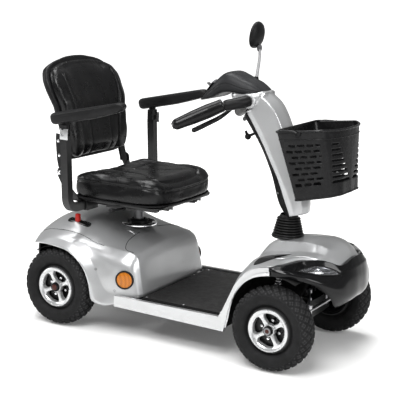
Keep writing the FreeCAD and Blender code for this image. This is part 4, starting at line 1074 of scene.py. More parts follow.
# turned rim parts: profile of (radius, distance outboard), sides, material index
RIM_OUTER = [
    ([(72.5, 28), (72.5, 37), (71.5, 40.5), (69.5, 41.5), (66, 41), (61, 39), (58, 36),
      (57, 31), (57, 20)], 96, 0),  # bright ring
    # barrel and disc are gloss black: painted shade for the depth behind the windows between the
    # spokes
    ([(57.5, 30), (57.0, 10), (56, -8), (58, -30), (64, -36), (71, -38), (72, -32),
      (66, -28)], 72, 1),  # barrel
    ([(57, 12), (30, 10), (0.1, 10)], 64, 1),  # disc
]
RIM_HUB = [
    ([(22, 18), (21.5, 32), (20.5, 34.5), (18.5, 35.5), (16.5, 35), (16, 32)], 48, 0),
    ([(16.5, 31), (16.2, 42), (15, 44.5), (12.5, 45.3), (11.4, 44.2), (10.6, 44.4)], 48, 1),
    ([(10.8, 43.6), (10.2, 45.2), (7, 46), (0.01, 46.4)], 32, 3),
]
SPOKE_FOOT = 19  # distance outboard of the spokes' inner edge


def tyre_section():
    """(radius, distance outboard, angle from the crown) across the carcass."""
    section = [(r, -w, math.radians(-a)) for r, w, a in BEAD]
    for k in range(61):
        a = math.radians(-152 + 304 * k / 60)
        c, s = math.cos(a), math.sin(a)
        section.append((CORE_RADIUS + math.copysign((33.5 if c > 0 else 31.0) * abs(c) ** 0.80, c),
                        math.copysign(44.5 * abs(s) ** 0.86, s), a))
    return section + [(r, w, math.radians(a)) for r, w, a in BEAD[::-1]]


def knob_height(turn, degrees):
    """Height of the diamond knobs; turn counts knobs round the tyre."""
    away = abs(degrees)
    if away < TREAD_EDGE:
        v = degrees / 25.0
        k1 = (turn + v * 0.5) % 1.0
        k2 = (turn - v * 0.5) % 1.0
        inside = min(min(k1, 1 - k1), min(k2, 1 - k2)) * 2
        rise = min(1.0, max(0.0, (inside - 0.20) / 0.14))
        return rise * KNOB_HEIGHT * (1.0 if away < 62 else (TREAD_EDGE - away) / 12)
    return 0.9 if away < 80 else 0.0


def face_ring_out(o, x, y):
    """Turn the tyre's normals away from its centre circle."""
    total = 0.0
    for p in o.data.polygons:
        centre = np.array(p.center) / MM
        spoke = np.array([centre[0] - x, 0, centre[2] - AXLE_Z])
        length = np.linalg.norm(spoke)
        core = np.array([x, y, AXLE_Z]) + spoke / max(length, 1e-6) * 108
        total += float(np.dot(centre - core, np.array(p.normal))) * p.area
    if total < 0:
        o.data.flip_normals()


def add_tyre(name, x, side, body, node):
    y = side * WHEEL_Y
    section = tyre_section()
    grid = []
    for i in range(TYRE_STEPS):
        round_angle = 2 * math.pi * i / TYRE_STEPS
        row = []
        for r, w, a in section:
            degrees = math.degrees(a)
            knob = knob_height(i / TYRE_STEPS * KNOBS_ROUND, degrees)
            groove = 3.2 if abs(degrees) < TREAD_EDGE else 0.0
            r += knob * math.cos(a) - groove * max(math.cos(a), 0)
            w += knob * math.sin(a) * 0.6
            if 96 < abs(degrees) < 99:  # raised line on the sidewall
                r += 0.6
            row.append((x + r * math.cos(round_angle), y + w, AXLE_Z + r * math.sin(round_angle)))
        grid.append(row)
    o = build("tyre_" + name, grid_mesh(grid, wrap_u=True), "tyre", sharp=0)
    clean(o)
    face_ring_out(o, x, y)
    place(o, body, node)


def add_rim(name, x, side, body, node, phase):
    """Ring, barrel and disc, four flared spokes with bolts between them, hub and cap."""
    def polar(r, angle, out):
        return (x + r * math.cos(angle), side * (WHEEL_Y + out), AXLE_Z + r * math.sin(angle))

    def turned(table):
        return [(*revolve_outward(profile, sides, side, x, WHEEL_Y, AXLE_Z), slot)
                for profile, sides, slot in table]

    parts = turned(RIM_OUTER)
    for k in range(4):
        spoke_angle = math.radians(45 + phase + 90 * k)
        rows = []
        for t in np.linspace(0, 1, 13):
            r = 17 + 42 * t
            half = 6.0 + 4.0 * (1 - t) ** 2 + 14.0 * t ** 6
            crown = 31 + 2.0 * math.sin(math.pi * t) + 4.5 * t ** 1.5
            across = [(v, crown - 2.2 * abs(v) ** 3 - (0.0 if abs(v) < 0.99 else 5))
                      for v in np.linspace(-1, 1, 11)]
            across = [(-1, SPOKE_FOOT)] + across + [(1, SPOKE_FOOT)]
            rows.append([polar(r, spoke_angle + half * v / max(r, 20), out) for v, out in across])
        parts.append((*grid_mesh(rows), 0))
        bolt_at = polar(33, spoke_angle + math.pi / 4, 14)
        parts.append((*bolt(bolt_at, (0, side, 0), radius=6.0, height=6.5), 2))
    parts += turned(RIM_HUB)
    o = build("rim_" + name, join(parts), ["rim_paint", "gloss_black", "chrome", "hub_cap"],
              sharp=0)
    clean(o, 0.01)
    mark_sharp(o, 32)
    place(o, body, node)
    # valve stem, leaning inwards from the barrel
    a = math.radians(20 + phase)
    foot = np.array(polar(57, a, 20))
    lean = np.array([-math.cos(a) * 0.45, side * 0.9, -math.sin(a) * 0.45])
    add("valve_" + name, tube([foot + lean * d for d in (0, 8, 9, 20)], [3.6, 3.4, 2.4, 2.4], 10),
        "grip_rubber", body)


def node_like(*words):
    return next((name for name in NODES if all(word in name for word in words)), None)


for end, axle_x, phase in (("rear", REAR_AXLE_X, -20), ("front", FRONT_AXLE_X, -12)):
    for side, label in SIDES:
        name, body = end + "_" + label, end + "_wheel_" + label
        add_tyre(name, axle_x, side, body, node_like(end, "tyre", label))
        add_rim(name, axle_x, side, body, node_like(end, "rim", label), phase)

# ================================================================ tiller covers
# stations from the boot up; points from the rear centre line round to the front one.
# Point 2 is the seam between the rear and the front cover.
TILLER = [
    [(334, 0, 468), (336, 28, 468), (352, 44, 473), (372, 48, 480), (394, 34, 484), (402, 0, 486)],
    [(314, 0, 492), (317, 30, 492), (343, 45, 496), (364, 50, 504), (395, 36, 513), (401, 0, 517)],
    [(297, 0, 525), (300, 32, 525), (329, 47, 532), (350, 51, 540), (386, 39, 556), (392, 0, 560)],
    [(274, 0, 597), (278, 34, 598), (302, 50, 602), (318, 53, 606), (366, 42, 618), (375, 0, 622)],
    [(253, 0, 646), (257, 35, 648), (273, 52, 656), (290, 55, 662), (344, 44, 676), (352, 0, 680)],
    [(231, 0, 689), (235, 36, 692), (246, 53, 708), (264, 56, 714), (323, 46, 740), (331, 0, 745)],
    [(206, 0, 728), (210, 37, 732), (222, 54, 748), (240, 57, 758), (297, 48, 800), (305, 0, 805)],
    [(181, 0, 767), (184, 38, 770), (200, 55, 784), (216, 58, 794), (268, 50, 846), (276, 0, 852)],
    [(160, 0, 800), (162, 40, 802), (178, 56, 817), (196, 59, 828), (228, 52, 878), (236, 0, 884)],
]
tiller_lines = smooth_lines(TILLER, 6)
sheet("tiller_rear_skin", mirror_half(loft(tiller_lines[:3], 5, {1: 9.0})), "black_abs",
      "tiller", "tiller_rear_cover", centre=(300, 0, 640), wall=2.4, sharp=50)
sheet("tiller_front_skin", mirror_half(loft(tiller_lines[2:], 5, {1: 5.0, 2: 12.0})[:, ::-1]),
      "silver", "tiller", "tiller_front_cover", centre=(290, 0, 650), wall=2.4, sharp=50)
for side, label in SIDES:
    seam = on_side(tiller_lines[2] + np.array([0, 0.3, 0]), side)
    add("tiller_seam_" + label, tube(seam, 1.3, 6), "well_black", "tiller")
    out = np.array([-0.75, side * 0.6, -0.25])
    screws = [bolt(on_side((tiller_lines[1][i] + tiller_lines[2][i]) / 2, side) + out * 2.0, out,
                   radius=4.2, height=2.2) for i in (14, 34)]
    add("tiller_screws_" + label, join(screws), "steel", "tiller")

# ================================================================ console pod
# x, top z, bottom z, half width, height of the widest point as a fraction
CONSOLE = [
    (-8, 849, 843, 38, 0.5), (-3, 854, 842, 52, 0.5), (11, 867, 846, 62, 0.45),
    (30, 890, 850, 68, 0.42), (49, 913, 856, 71, 0.4), (78, 941, 872, 73, 0.38),
    (104, 949, 878, 73, 0.36), (131, 941, 877, 71, 0.34), (161, 928, 873, 67, 0.34),
    (190, 917, 874, 60, 0.36), (214, 902, 878, 50, 0.4), (228, 891, 882, 38, 0.5),
    (233, 887, 884, 26, 0.5)]
# x, top z, bottom z, half width
NECK = [(110, 874, 868, 40), (118, 880, 858, 52), (136, 886, 846, 60), (160, 886, 836, 63),
        (186, 886, 830, 64), (208, 886, 832, 61), (226, 890, 846, 52), (238, 888, 866, 38)]
POD_STEPS = 4


def console_station(x, top, bottom, width, widest):
    h = top - bottom
    return [(x, 0, top), (x, width * 0.55, top - h * 0.03), (x, width * 0.86, top - h * 0.20),
            (x, width, bottom + h * widest), (x, width * 0.94, bottom + h * 0.12),
            (x, width * 0.70, bottom + h * 0.01), (x, 0, bottom)]


def neck_station(x, top, bottom, width):
    h = top - bottom
    return [(x, 0, top), (x, width * 0.8, top), (x, width * 0.97, top - h * 0.22),
            (x, width, bottom + h * 0.5), (x, width * 0.95, bottom + h * 0.18),
            (x, width * 0.72, bottom), (x, 0, bottom)]


console_half = loft(smooth_lines([console_station(*row) for row in CONSOLE], POD_STEPS),
                    POD_STEPS, {3: 5.0})
closed_shell("console_skin", mirror_half(console_half), "dark_grey", "tiller", "console")
beside_crease = console_half[2:-2, POD_STEPS * 3 - 1] + np.array([0, 0.25, 0])
for side, label in SIDES:
    add("console_seam_" + label, tube(on_side(beside_crease, side), 0.9, 6), "well_black",
        "tiller")
neck_half = loft(smooth_lines([neck_station(*row) for row in NECK], POD_STEPS), POD_STEPS)
closed_shell("head_neck_skin", mirror_half(neck_half), "silver", "tiller")


def on_face(y, up, lift):
    """Point on the sloped rear face of the console."""
    return (np.array([30.0, 0, 890.0]) + np.array([0, 1.0, 0]) * y
            + np.array([0.643, 0, 0.766]) * up + np.array([-0.766, 0, 0.643]) * lift)


plate = [[on_face(58 * a, 21 * b, 1.0 + 0.4 * (1 - a * a)) for b in np.linspace(-1, 1, 7)]
         for a in np.linspace(-1, 1, 21)]
sheet("console_face_plate", plate, "gloss_black", "tiller", centre=(60, 0, 870), wall=0.8)
ticks = []
for k in range(9):
    a = math.radians(-120 + 30 * k)
    ticks.append(tube([on_face(r * math.sin(a), r * math.cos(a), 1.7) for r in (17, 20)], 0.55, 6))
add("dial_ticks", join(ticks), "rim_paint", "tiller")
gauge = [tube([on_face(-52 + 4.2 * k, up, 1.7) for up in (11, 16)], 1.2, 6) for k in range(5)]
add("gauge_lights", join(gauge), "reflector", "tiller")

# ================================================================ handlebar
BAR_PATH = [(186, 62, 858), (182, 74, 855), (170, 90, 851), (150, 106, 846), (127, 122, 841)]
BAR_HUB = [(0.1, 0), (20, 0), (23.5, 1.5), (25, 5), (25, 16), (23, 18), (18, 18)]


def bar_sleeve(side, label):
    path = curve([(x, side * y, z) for x, y, z in BAR_PATH], 8)
    radii = np.interp(np.linspace(0, 1, len(path)), [0, 0.06, 0.14, 0.5, 0.92, 1.0],
                      [14, 19, 20.5, 20, 19, 16])
    add("bar_sleeve_" + label, tube(path, radii, 28), "black_abs", "tiller")


def grip(side, label):
    outer, inner = np.array([-6.0, side * 236, 771]), np.array([121.0, side * 124, 842])
    length = np.linalg.norm(outer - inner)
    along = (outer - inner) / length
    path, radii = [], []
    for k in range(91):
        t = k / 90
        r = np.interp(t, [0, 0.03, 0.06, 0.3, 0.6, 0.85, 1.0],
                      [21.0, 22.6, 22.0, 24.0, 22.6, 19.6, 18.4])
        if t > 0.90:  # rounded end
            r *= math.sqrt(max(0.02, 1 - ((t - 0.90) / 0.10) ** 2.3))
        radii.append(r)
        path.append(inner + along * (-2 + (length + 2.0) * t))
    add("grip_sleeve_" + label, tube(path, radii, 36), "grip_gloss", "tiller",
        *on_left(side, "grips"), sharp=0)


for side, label in SIDES:
    bar_sleeve(side, label)
    add("bar_hub_" + label, revolve_outward(BAR_HUB, 40, side, 190, 52, 856), "silver_trim",
        "tiller")
    grip(side, label)

PADDLE_PATH = [(133, 52, 832), (132, 67, 830), (120, 98, 811), (107, 124, 796), (81, 152, 778),
               (57, 176, 762), (44, 191, 754)]
PADDLE_SIDES = 20


def paddle(side):
    """Oval blade under a grip, rounded off at its outer end."""
    path = curve([(x, side * y, z) for x, y, z in PADDLE_PATH], 8)
    tangents = np.gradient(path, axis=0)
    tangents /= np.linalg.norm(tangents, axis=1)[:, None]
    up = np.array([0, 0, 1.0])
    rows = []
    for k, (point, tangent) in enumerate(zip(path, tangents)):
        t = k / (len(path) - 1)
        rise = up - tangent * up.dot(tangent)
        rise /= np.linalg.norm(rise)
        across = np.cross(tangent, rise)
        taper = math.sqrt(max(0.03, 1 - max(0.0, (t - 0.93) / 0.07) ** 2.2))
        high = np.interp(t, [0, 0.25, 0.45, 0.75, 1], [6, 6, 7.5, 8.5, 8]) * taper
        wide = np.interp(t, [0, 0.3, 1], [5.5, 6.5, 7.5]) * taper
        rows.append([point + rise * high * math.sin(a) + across * wide * math.cos(a)
                     for a in np.linspace(0, 2 * math.pi, PADDLE_SIDES, endpoint=False)])
    verts, faces = grid_mesh(rows, wrap_v=True)
    last = (len(rows) - 1) * PADDLE_SIDES
    return verts, faces + [tuple(range(PADDLE_SIDES))[::-1],
                           tuple(range(last, last + PADDLE_SIDES))]


def throttle_paddles():
    cross_rod = tube([(133, y, 832) for y in (-56, -20, 20, 56)], 6.5, 20)
    o = build("throttle_paddles", join([paddle(1), paddle(-1), cross_rod]), "grip_gloss",
              sharp=50)
    bm = bmesh.new()
    bm.from_mesh(o.data)
    bmesh.ops.recalc_face_normals(bm, faces=bm.faces)
    bm.to_mesh(o.data)
    bm.free()
    place(o, "throttle", "throttle_lever")


throttle_paddles()

# ================================================================ mirror
MIRROR_CENTRE = np.array([124.0, 112.0, 1068.0])
MIRROR_TILT = math.radians(8)
# (fraction of the outline, x): from the middle of the back, round the edge to the front lip
MIRROR_BACK = [(0.01, 17), (0.3, 16.15), (0.55, 14.025), (0.75, 10.2), (0.9, 5.1),
               (0.985, -1.275), (1.0, -5.1), (0.985, -7.65), (0.95, -8.5), (0.925, -7.65),
               (0.91, -6.375)]
MIRROR_GLASS = [(r, -7.0 - 1.6 * (1 - r * r)) for r in (0.001, 0.25, 0.5, 0.75, 1.0)]


def mirror_dish(half_width, half_height, rings):
    rows = []
    for k in range(64):
        c, s = superellipse(2 * math.pi * k / 64, 2.2)
        row = []
        for r, x in rings:
            z = half_height * s * r
            row.append(MIRROR_CENTRE + np.array([
                x * math.cos(MIRROR_TILT) + z * math.sin(MIRROR_TILT), half_width * c * r,
                -x * math.sin(MIRROR_TILT) + z * math.cos(MIRROR_TILT)]))
        rows.append(row)
    return rows


mirror_back = build("mirror_back", grid_mesh(mirror_dish(47, 47.5, MIRROR_BACK), wrap_u=True),
                    "black_abs", sharp=45)
clean(mirror_back)
place(mirror_back, "mirror_head", "mirror_shell")
sheet("mirror_face", mirror_dish(43, 43.5, MIRROR_GLASS), "mirror", "mirror_head",
      "mirror_glass", wall=0, wrap=True)

MIRROR_BALL = [(4.5, -14), (7, -12), (8.5, -7), (9, 0), (8, 6), (5, 9)]
MIRROR_SOCKET = [(4, -16), (9.5, -14), (10.5, -8), (9.5, 0), (8, 8), (6, 10), (4, 10)]
MIRROR_ARM = [(159, 46, 892), (159, 48, 916), (156, 62, 950), (147, 90, 990), (138, 107, 1014),
              (134, 112, 1028)]
add("mirror_ball", revolve(MIRROR_BALL, 28, "z", (134, 112, 1026)), "key_grey", "mirror_arm")
add("mirror_arm_bar",
    tube(curve(MIRROR_ARM, 8), [5.6] * 8 + list(np.linspace(5.6, 4.4, 33)), 16),
    "alu_grey", "mirror_arm", "mirror_stem")
add("mirror_socket", revolve(MIRROR_SOCKET, 28, "z", (159, 46, 920)), "grip_rubber",
    "mirror_arm")

# ================================================================ basket
BASKET_HALF_COUNT = 150
BASKET_LEVELS = np.linspace(0, 1, 85)  # fractions of the height
SLOT_PITCH = 31.0
# basket floor: fraction of the base outline, rings outside in
FLOOR_RINGS = (0.97, 0.9, 0.75, 0.6, 0.45, 0.3, 0.15)
FLOOR_DROPS = (-3.5, -4.5, -4.5, -4.5, -4.5, -4.5, -4.5)


def basket_rear(f):
    return 404 - 65 * f


def basket_corner(f):
    """Where the sides end and the front begins."""
    return 522 - 26 * f


def basket_outline(f):
    """Plan loop of (x, y) at a fraction of the height."""
    rear, corner, front = basket_rear(f), basket_corner(f), 553 - 8 * f
    rear_half, front_half = 128 + 30 * f, 114 + 38 * f
    half = curve([
        (rear, 0), (rear, rear_half * 0.6), (rear, rear_half - 18), (rear + 6, rear_half - 5),
        (rear + 20, rear_half + 1), ((rear + corner) / 2, (rear_half + front_half) / 2 + 3),
        (corner - 16, front_half + 1), (corner + 2, front_half - 6),
        (corner + 14, front_half - 20), ((corner + front) / 2 + 12, front_half * 0.60),
        (front - 2, front_half * 0.28), (front, 0)], 6)
    return with_mirror(resample(half, BASKET_HALF_COUNT + 1), [1, -1], first=1)


def in_basket_slot(x, y, f):
    """Whether a wall point lies in one of the slots of the sides or the front."""
    rear, corner = basket_rear(f), basket_corner(f)
    q = (0.835 - f) / 0.083
    row = math.floor(q)
    in_row = q - row
    if not (0 <= row < 8 and 0.26 < in_row < 0.74):
        return False
    rounding = (abs(in_row - 0.5) / 0.24) ** 3
    if x < corner - 6 and y > 100:
        u = x - (rear + 18) - (0 if row % 2 else 14)
        k = math.floor(u / SLOT_PITCH)
        w = u - SLOT_PITCH * k
        return (0 <= k and 2 + 2.5 * rounding < w < 27 - 2.5 * rounding
                and rear + 18 + SLOT_PITCH * (k + 1) < corner + 6)
    if x > corner + 4:
        outer = 116 - 14 * (1 - f)
        length = 27 + 9.5 * row
        return outer - length + 3 * rounding < y < outer - 3 * rounding and y > 7
    return False


def basket_walls():
    rings = []
    for f in BASKET_LEVELS:
        plan = basket_outline(f)
        bottom = np.interp(plan[:, 0], [400, 552], [551, 583])
        top = np.interp(plan[:, 0], [338, 500, 550], [776, 795, 796])
        rings.append(np.column_stack([plan, bottom + (top - bottom) * f]))
    return np.array(rings)


def basket_shell(grid):
    levels, n = grid.shape[:2]
    faces = []
    for i in range(levels - 1):
        f = (BASKET_LEVELS[i] + BASKET_LEVELS[i + 1]) / 2
        for j in range(n):
            k = (j + 1) % n
            middle = (grid[i, j] + grid[i, k] + grid[i + 1, j] + grid[i + 1, k]) / 4
            if not in_basket_slot(middle[0], abs(middle[1]), f):
                faces.append((i * n + j, i * n + k, (i + 1) * n + k, (i + 1) * n + j))
    verts = grid.reshape(-1, 3).tolist()
    base = grid[0]
    centre = base.mean(0)
    outer = 0
    for i, (fraction, drop) in enumerate(zip(FLOOR_RINGS, FLOOR_DROPS)):
        inner = len(verts)
        verts += (centre + (base - centre) * fraction + np.array([0, 0, drop])).tolist()
        for j in range(n):
            k = (j + 1) % n
            if i in (3, 5) and (j // 10) % 2 == 0:  # open slots in the floor
                continue
            faces.append((outer + k, outer + j, inner + j, inner + k))
        outer = inner
    verts.append((centre + np.array([0, 0, FLOOR_DROPS[-1]])).tolist())
    for j in range(n):
        faces.append((outer + (j + 1) % n, outer + j, len(verts) - 1))
    o = build("basket_shell", (verts, faces), "basket_black", sharp=0)
    clean(o)
    face_out(o, (455, 0, 680))
    add_wall(o, 3.2)
    place(o, "basket", "basket")


def basket_beads(grid):
    """Rolled rim, a thin bead below it and a bead round the foot."""
    bead = grid[74]
    out = bead - bead.mean(0)
    out[:, 2] = 0
    out /= np.linalg.norm(out, axis=1)[:, None]
    lines = [(grid[-1], 4.2, 10), (bead + out * 0.8, 1.6, 8),
             (grid[0] + np.array([0, 0, -1.0]), 3.0, 8)]
    add("basket_rim", join([tube(close_loop(line), radius, sides, caps=False)
                            for line, radius, sides in lines]), "basket_black", "basket")


basket_grid = basket_walls()
basket_shell(basket_grid)
basket_beads(basket_grid)
BASKET_PIVOT = [(0.1, 0), (9, 0), (11, 1.2), (11.5, 4), (10, 6), (7, 6.4), (6.4, 4.8),
                (0.1, 4.6)]
for side, label in SIDES:
    add("basket_pivot_" + label, revolve_outward(BASKET_PIVOT, 28, side, 420, 157.5, 779),
        "black_abs", "basket")

# left half of the carry handle, resting on the rim
HANDLE = [(420, 166.5, 782), (408, 166.5, 786), (384, 164, 786), (362, 160, 784),
          (351, 150, 783.5), (348, 120, 783), (348, 60, 783), (348, 0, 783)]
add("basket_carry_handle", tube(with_mirror(curve(HANDLE, 6), [1, -1, 1]), 3.1, 12),
    "frame_coat", "basket_handle", "basket_handle")


# ================================================================ padding tools
def pad(outline, centre, levels, point, poles):
    """Closed pad over a 2D outline.

    levels are (outline scale, height fraction) from the top's middle to the bottom's;
    point(u, v, height) places a vertex; poles are the two middle points.
    """
    centre = np.array(centre, float)
    verts = [point(*(centre + (p - centre) * scale), height)
             for scale, height in levels for p in outline]
    n = len(outline)
    faces = grid_faces(len(levels), n, wrap_v=True)
    top, last = len(verts), (len(levels) - 1) * n
    for k in range(n):
        following = (k + 1) % n
        faces.append((top, k, following))
        faces.append((top + 1, last + following, last + k))
    return verts + poles, faces


CUSHION_LEVELS = [
    (0.12, 1), (0.3, 1), (0.5, 1), (0.66, 1), (0.8, 1.0), (0.89, 0.99), (0.95, 0.965),
    (0.985, 0.90), (1.0, 0.78), (1.0, 0.42), (0.992, 0.22), (0.975, 0.08), (0.94, 0.0),
    (0.8, 0), (0.6, 0), (0.4, 0), (0.2, 0)]
CLOTH_FRAMES = 20


def apply_modifiers(o):
    depsgraph = bpy.context.evaluated_depsgraph_get()
    mesh = bpy.data.meshes.new_from_object(o.evaluated_get(depsgraph), depsgraph=depsgraph)
    mats = list(o.data.materials)
    o.modifiers.clear()
    o.data = mesh
    mesh.materials.clear()
    for material in mats:
        mesh.materials.append(material)
    return mesh


def cloth_swell(o, base, pinned):
    """Displacement of a pressurised cloth after CLOTH_FRAMES frames, mostly smoothed."""
    mesh = o.data
    o.vertex_groups.new(name="pin").add(np.flatnonzero(pinned).tolist(), 1.0, "REPLACE")
    cloth = o.modifiers.new("cloth", "CLOTH")
    settings = cloth.settings
    settings.quality = 5
    settings.mass = 0.4
    settings.use_pressure = True
    settings.uniform_pressure_force = 4.0
    settings.effector_weights.gravity = 0.0
    settings.tension_stiffness = 14
    settings.compression_stiffness = 14
    settings.bending_stiffness = 1.2
    settings.vertex_group_mass = "pin"
    cloth.collision_settings.use_collision = False
    cloth.point_cache.frame_start = 1
    cloth.point_cache.frame_end = CLOTH_FRAMES
    for number in range(1, CLOTH_FRAMES + 1):
        bpy.context.scene.frame_set(number)
    evaluated = o.evaluated_get(bpy.context.evaluated_depsgraph_get())
    moved = np.array([v.co for v in evaluated.data.vertices]) - base
    o.modifiers.clear()
    # most of the swell stays, with only a trace of the wrinkling
    ends = np.empty(len(mesh.edges) * 2, dtype=np.int64)
    mesh.edges.foreach_get("vertices", ends)
    first, second = ends[0::2], ends[1::2]
    neighbours = np.bincount(ends, minlength=len(base)).astype(float)[:, None]
    soft = moved.copy()
    for _ in range(26):
        total = np.stack([np.bincount(first, soft[second, axis], len(base))
                          + np.bincount(second, soft[first, axis], len(base))
                          for axis in range(3)], axis=1)
        soft = 0.4 * soft + 0.6 * total / np.maximum(neighbours, 1)
    return soft + 0.14 * (moved - soft)


def inflate(o, limit, is_pinned):
    """Voxel remesh, swell by at most limit (mm) with some vertices pinned, subdivide once."""
    remesh = o.modifiers.new("re", "REMESH")
    remesh.mode = "VOXEL"
    remesh.voxel_size = 5.5 * MM
    remesh.use_smooth_shade = True
    mesh = apply_modifiers(o)
    base = np.array([v.co for v in mesh.vertices])
    pinned = np.array([bool(is_pinned(p / MM)) for p in base])
    swell = cloth_swell(o, base, pinned)
    length = np.linalg.norm(swell, axis=1)
    keep = np.minimum(1.0, limit * MM / np.maximum(length, 1e-9))
    mesh.vertices.foreach_set("co", (base + swell * keep[:, None]).reshape(-1))
    bpy.context.scene.frame_set(1)
    mesh.update()
    smooth(mesh)
    subdivide = o.modifiers.new("sub", "SUBSURF")
    subdivide.levels = 1
    subdivide.render_levels = 1
    apply_modifiers(o)


def line_distance(points, line):
    """Distance of 2D points to a polyline."""
    best = np.full(len(points), 1e9)
    for a, b in zip(line[:-1], line[1:]):
        ab = b - a
        t = np.clip(((points - a) @ ab) / max(ab @ ab, 1e-9), 0, 1)
        best = np.minimum(best, np.linalg.norm(points - (a + t[:, None] * ab), axis=1))
    return best


def smoothstep(x, a, b):
    t = np.clip((x - a) / (b - a), 0, 1)
    return t * t * (3 - 2 * t)


def bell(x, width, power=2):
    return np.exp(-(x / width) ** power)


def emboss(o, relief):
    """Move each vertex along its normal by relief(points in mm, normals), in mm."""
    mesh = o.data
    points = np.empty(len(mesh.vertices) * 3)
    mesh.vertices.foreach_get("co", points)
    points = points.reshape(-1, 3)
    normals = np.empty(len(mesh.vertices) * 3)
    mesh.vertices.foreach_get("normal", normals)
    normals = normals.reshape(-1, 3)
    points = points + normals * (relief(points / MM, normals) * MM)[:, None]
    mesh.vertices.foreach_set("co", points.reshape(-1))
    smooth(mesh)
    mesh.update()


# ================================================================ seat cushion
SEAT_X = -252
SEAT_BOTTOM = 471.5
# left half of the plan, (x, y) from the rear to the front
SEAT_HALF = [(-446, 0), (-446, 120), (-440, 178), (-424, 204), (-398, 214), (-330, 217),
             (-240, 218), (-160, 215), (-112, 203), (-82, 176), (-66, 130), (-60, 70), (-58, 0)]
SEAT_SEAM = [(-430, 158), (-380, 163), (-300, 165), (-220, 163), (-150, 152), (-112, 128),
             (-96, 80), (-92, 0)]
SEAT_PLEAT = [(-400, 30), (-330, 36), (-250, 52), (-190, 84), (-140, 124)]
SEAT_CROSS = [(-318, -158), (-326, -80), (-330, 0), (-326, 80), (-318, 158)]

seat_outline = resample(with_mirror(curve(SEAT_HALF, 6), [1, -1], first=1), 120, closed=True)
seat_seam = with_mirror(curve(SEAT_SEAM, 5), [1, -1])
seat_pleats = [curve([(x, side * y) for x, y in SEAT_PLEAT], 4) for side, _ in SIDES]
seat_cross = curve(SEAT_CROSS, 4)


def seat_top(x, y):
    return (548.0 + 5.0 * smoothstep(abs(y), 110, 185) - 15.0 * smoothstep(x, -130, -50)
            - 8.0 * smoothstep(-x, 380, 450))


def welt_height(x):
    return 533 - 15 * smoothstep(x, -140, -60)


def seat_relief(points, normals):
    x, y, z = points.T
    plan = points[:, :2]
    # on the top: seams and pleats, sunk middle, side bolsters, front roll
    seam = line_distance(plan, seat_seam)
    top = -4.6 * bell(seam, 5.0) - 2.0 * bell(seam, 16.0)
    for pleat in seat_pleats:
        away = line_distance(plan, pleat)
        top -= (2.6 * bell(away, 5.0) + 1.4 * bell(away, 22.0)) * smoothstep(-x, 130, 190)
    away = line_distance(plan, seat_cross)
    top -= 1.8 * bell(away, 5.5) + 1.0 * bell(away, 20.0)
    top -= 7.0 * bell(x + 300, 110.0) * bell(y, 105.0)
    top += 3.0 * bell(np.abs(y) - 188, 22.0) * smoothstep(-x, 80, 170)
    top += 3.4 * bell(x + 112, 34.0) * bell(y, 150.0, power=4)
    # creases fanning from the rear corners
    for side, _ in SIDES:
        dx, dy = x + 420, y - side * 176
        top += 0.9 * np.sin(np.arctan2(dy, dx) * 15.0) * bell(np.hypot(dy, dx) - 70, 45.0)
    relief = np.where(normals[:, 2] > 0.35, top, 0)
    # soft wrinkles all over
    relief += (0.7 * np.sin(x / 21.0 + 1.3 * np.sin(y / 37.0))
               * np.sin(y / 29.0 + 0.8 * np.sin(x / 41.0)))
    # on the sides: groove for the welt and bulges below it
    on_edge = np.abs(normals[:, 2]) < 0.75
    relief += np.where(on_edge, -2.6 * bell(z - welt_height(x), 4.0), 0)
    relief += np.where(on_edge & (z < 520),
                       1.1 * np.sin(x / 26.0) * np.sin((z - 470) / 50.0 * math.pi), 0)
    return relief


def seat_cushion():
    def point(x, y, height):
        return x, y, SEAT_BOTTOM + (seat_top(x, y) - SEAT_BOTTOM) * height

    poles = [(SEAT_X, 0, seat_top(SEAT_X, 0)), (SEAT_X, 0, SEAT_BOTTOM)]
    mesh = pad(seat_outline, (SEAT_X, 0), CUSHION_LEVELS, point, poles)
    o = build("seat_pad", mesh, "vinyl", sharp=0)
    clean(o)
    inflate(o, limit=9, is_pinned=lambda p: p[2] < SEAT_BOTTOM + 3)
    emboss(o, seat_relief)
    return place(o, "seat", "seat_cushion")


def seat_welt(cushion):
    """Round welt in the side groove, found by rays from all round."""
    surface = surface_of(cushion)
    path = []
    for k in range(160):
        a = 2 * math.pi * k / 160
        c, s = math.cos(a), math.sin(a)
        start = (SEAT_X + 420 * c, 420 * s, welt_height(SEAT_X + 200 * c))
        path.append(cast(surface, start, (-c, -s, 0), -0.4)[0])
    add("seat_pad_welt", tube(close_loop(np.array(path)), 2.7, 8, caps=False), "vinyl_side",
        "seat", sharp=0)


seat_welt(seat_cushion())

# board under the cushion: (scale of its outline, z)
BOARD_RINGS = [(0.2, 466.5), (0.6, 466.5), (0.97, 466.5), (1.0, 468.5), (1.0, 472.5),
               (0.985, 474)]
board_outline = [(x * 0.985 + SEAT_X * 0.015, y * 0.985) for x, y in seat_outline]
board = [[(SEAT_X + (x - SEAT_X) * scale, y * scale, z) for x, y in board_outline]
         for scale, z in BOARD_RINGS]
add("seat_base_board", grid_mesh(board, wrap_v=True), "black_abs", "seat", sharp=40)

# ================================================================ seat pan
TRAY_RINGS = [(60, 459), (24, 459), (16, 457.5), (12, 458.5), (11, 461), (11, 465.5)]  # inset, z
HINGE_X, HINGE_Z = -485, 553
# slide rail: y range about the rail's middle, z range
RAIL_BLOCKS = [(-15, 15, 449, 459), (-15, -12, 445, 450), (12, 15, 445, 450)]
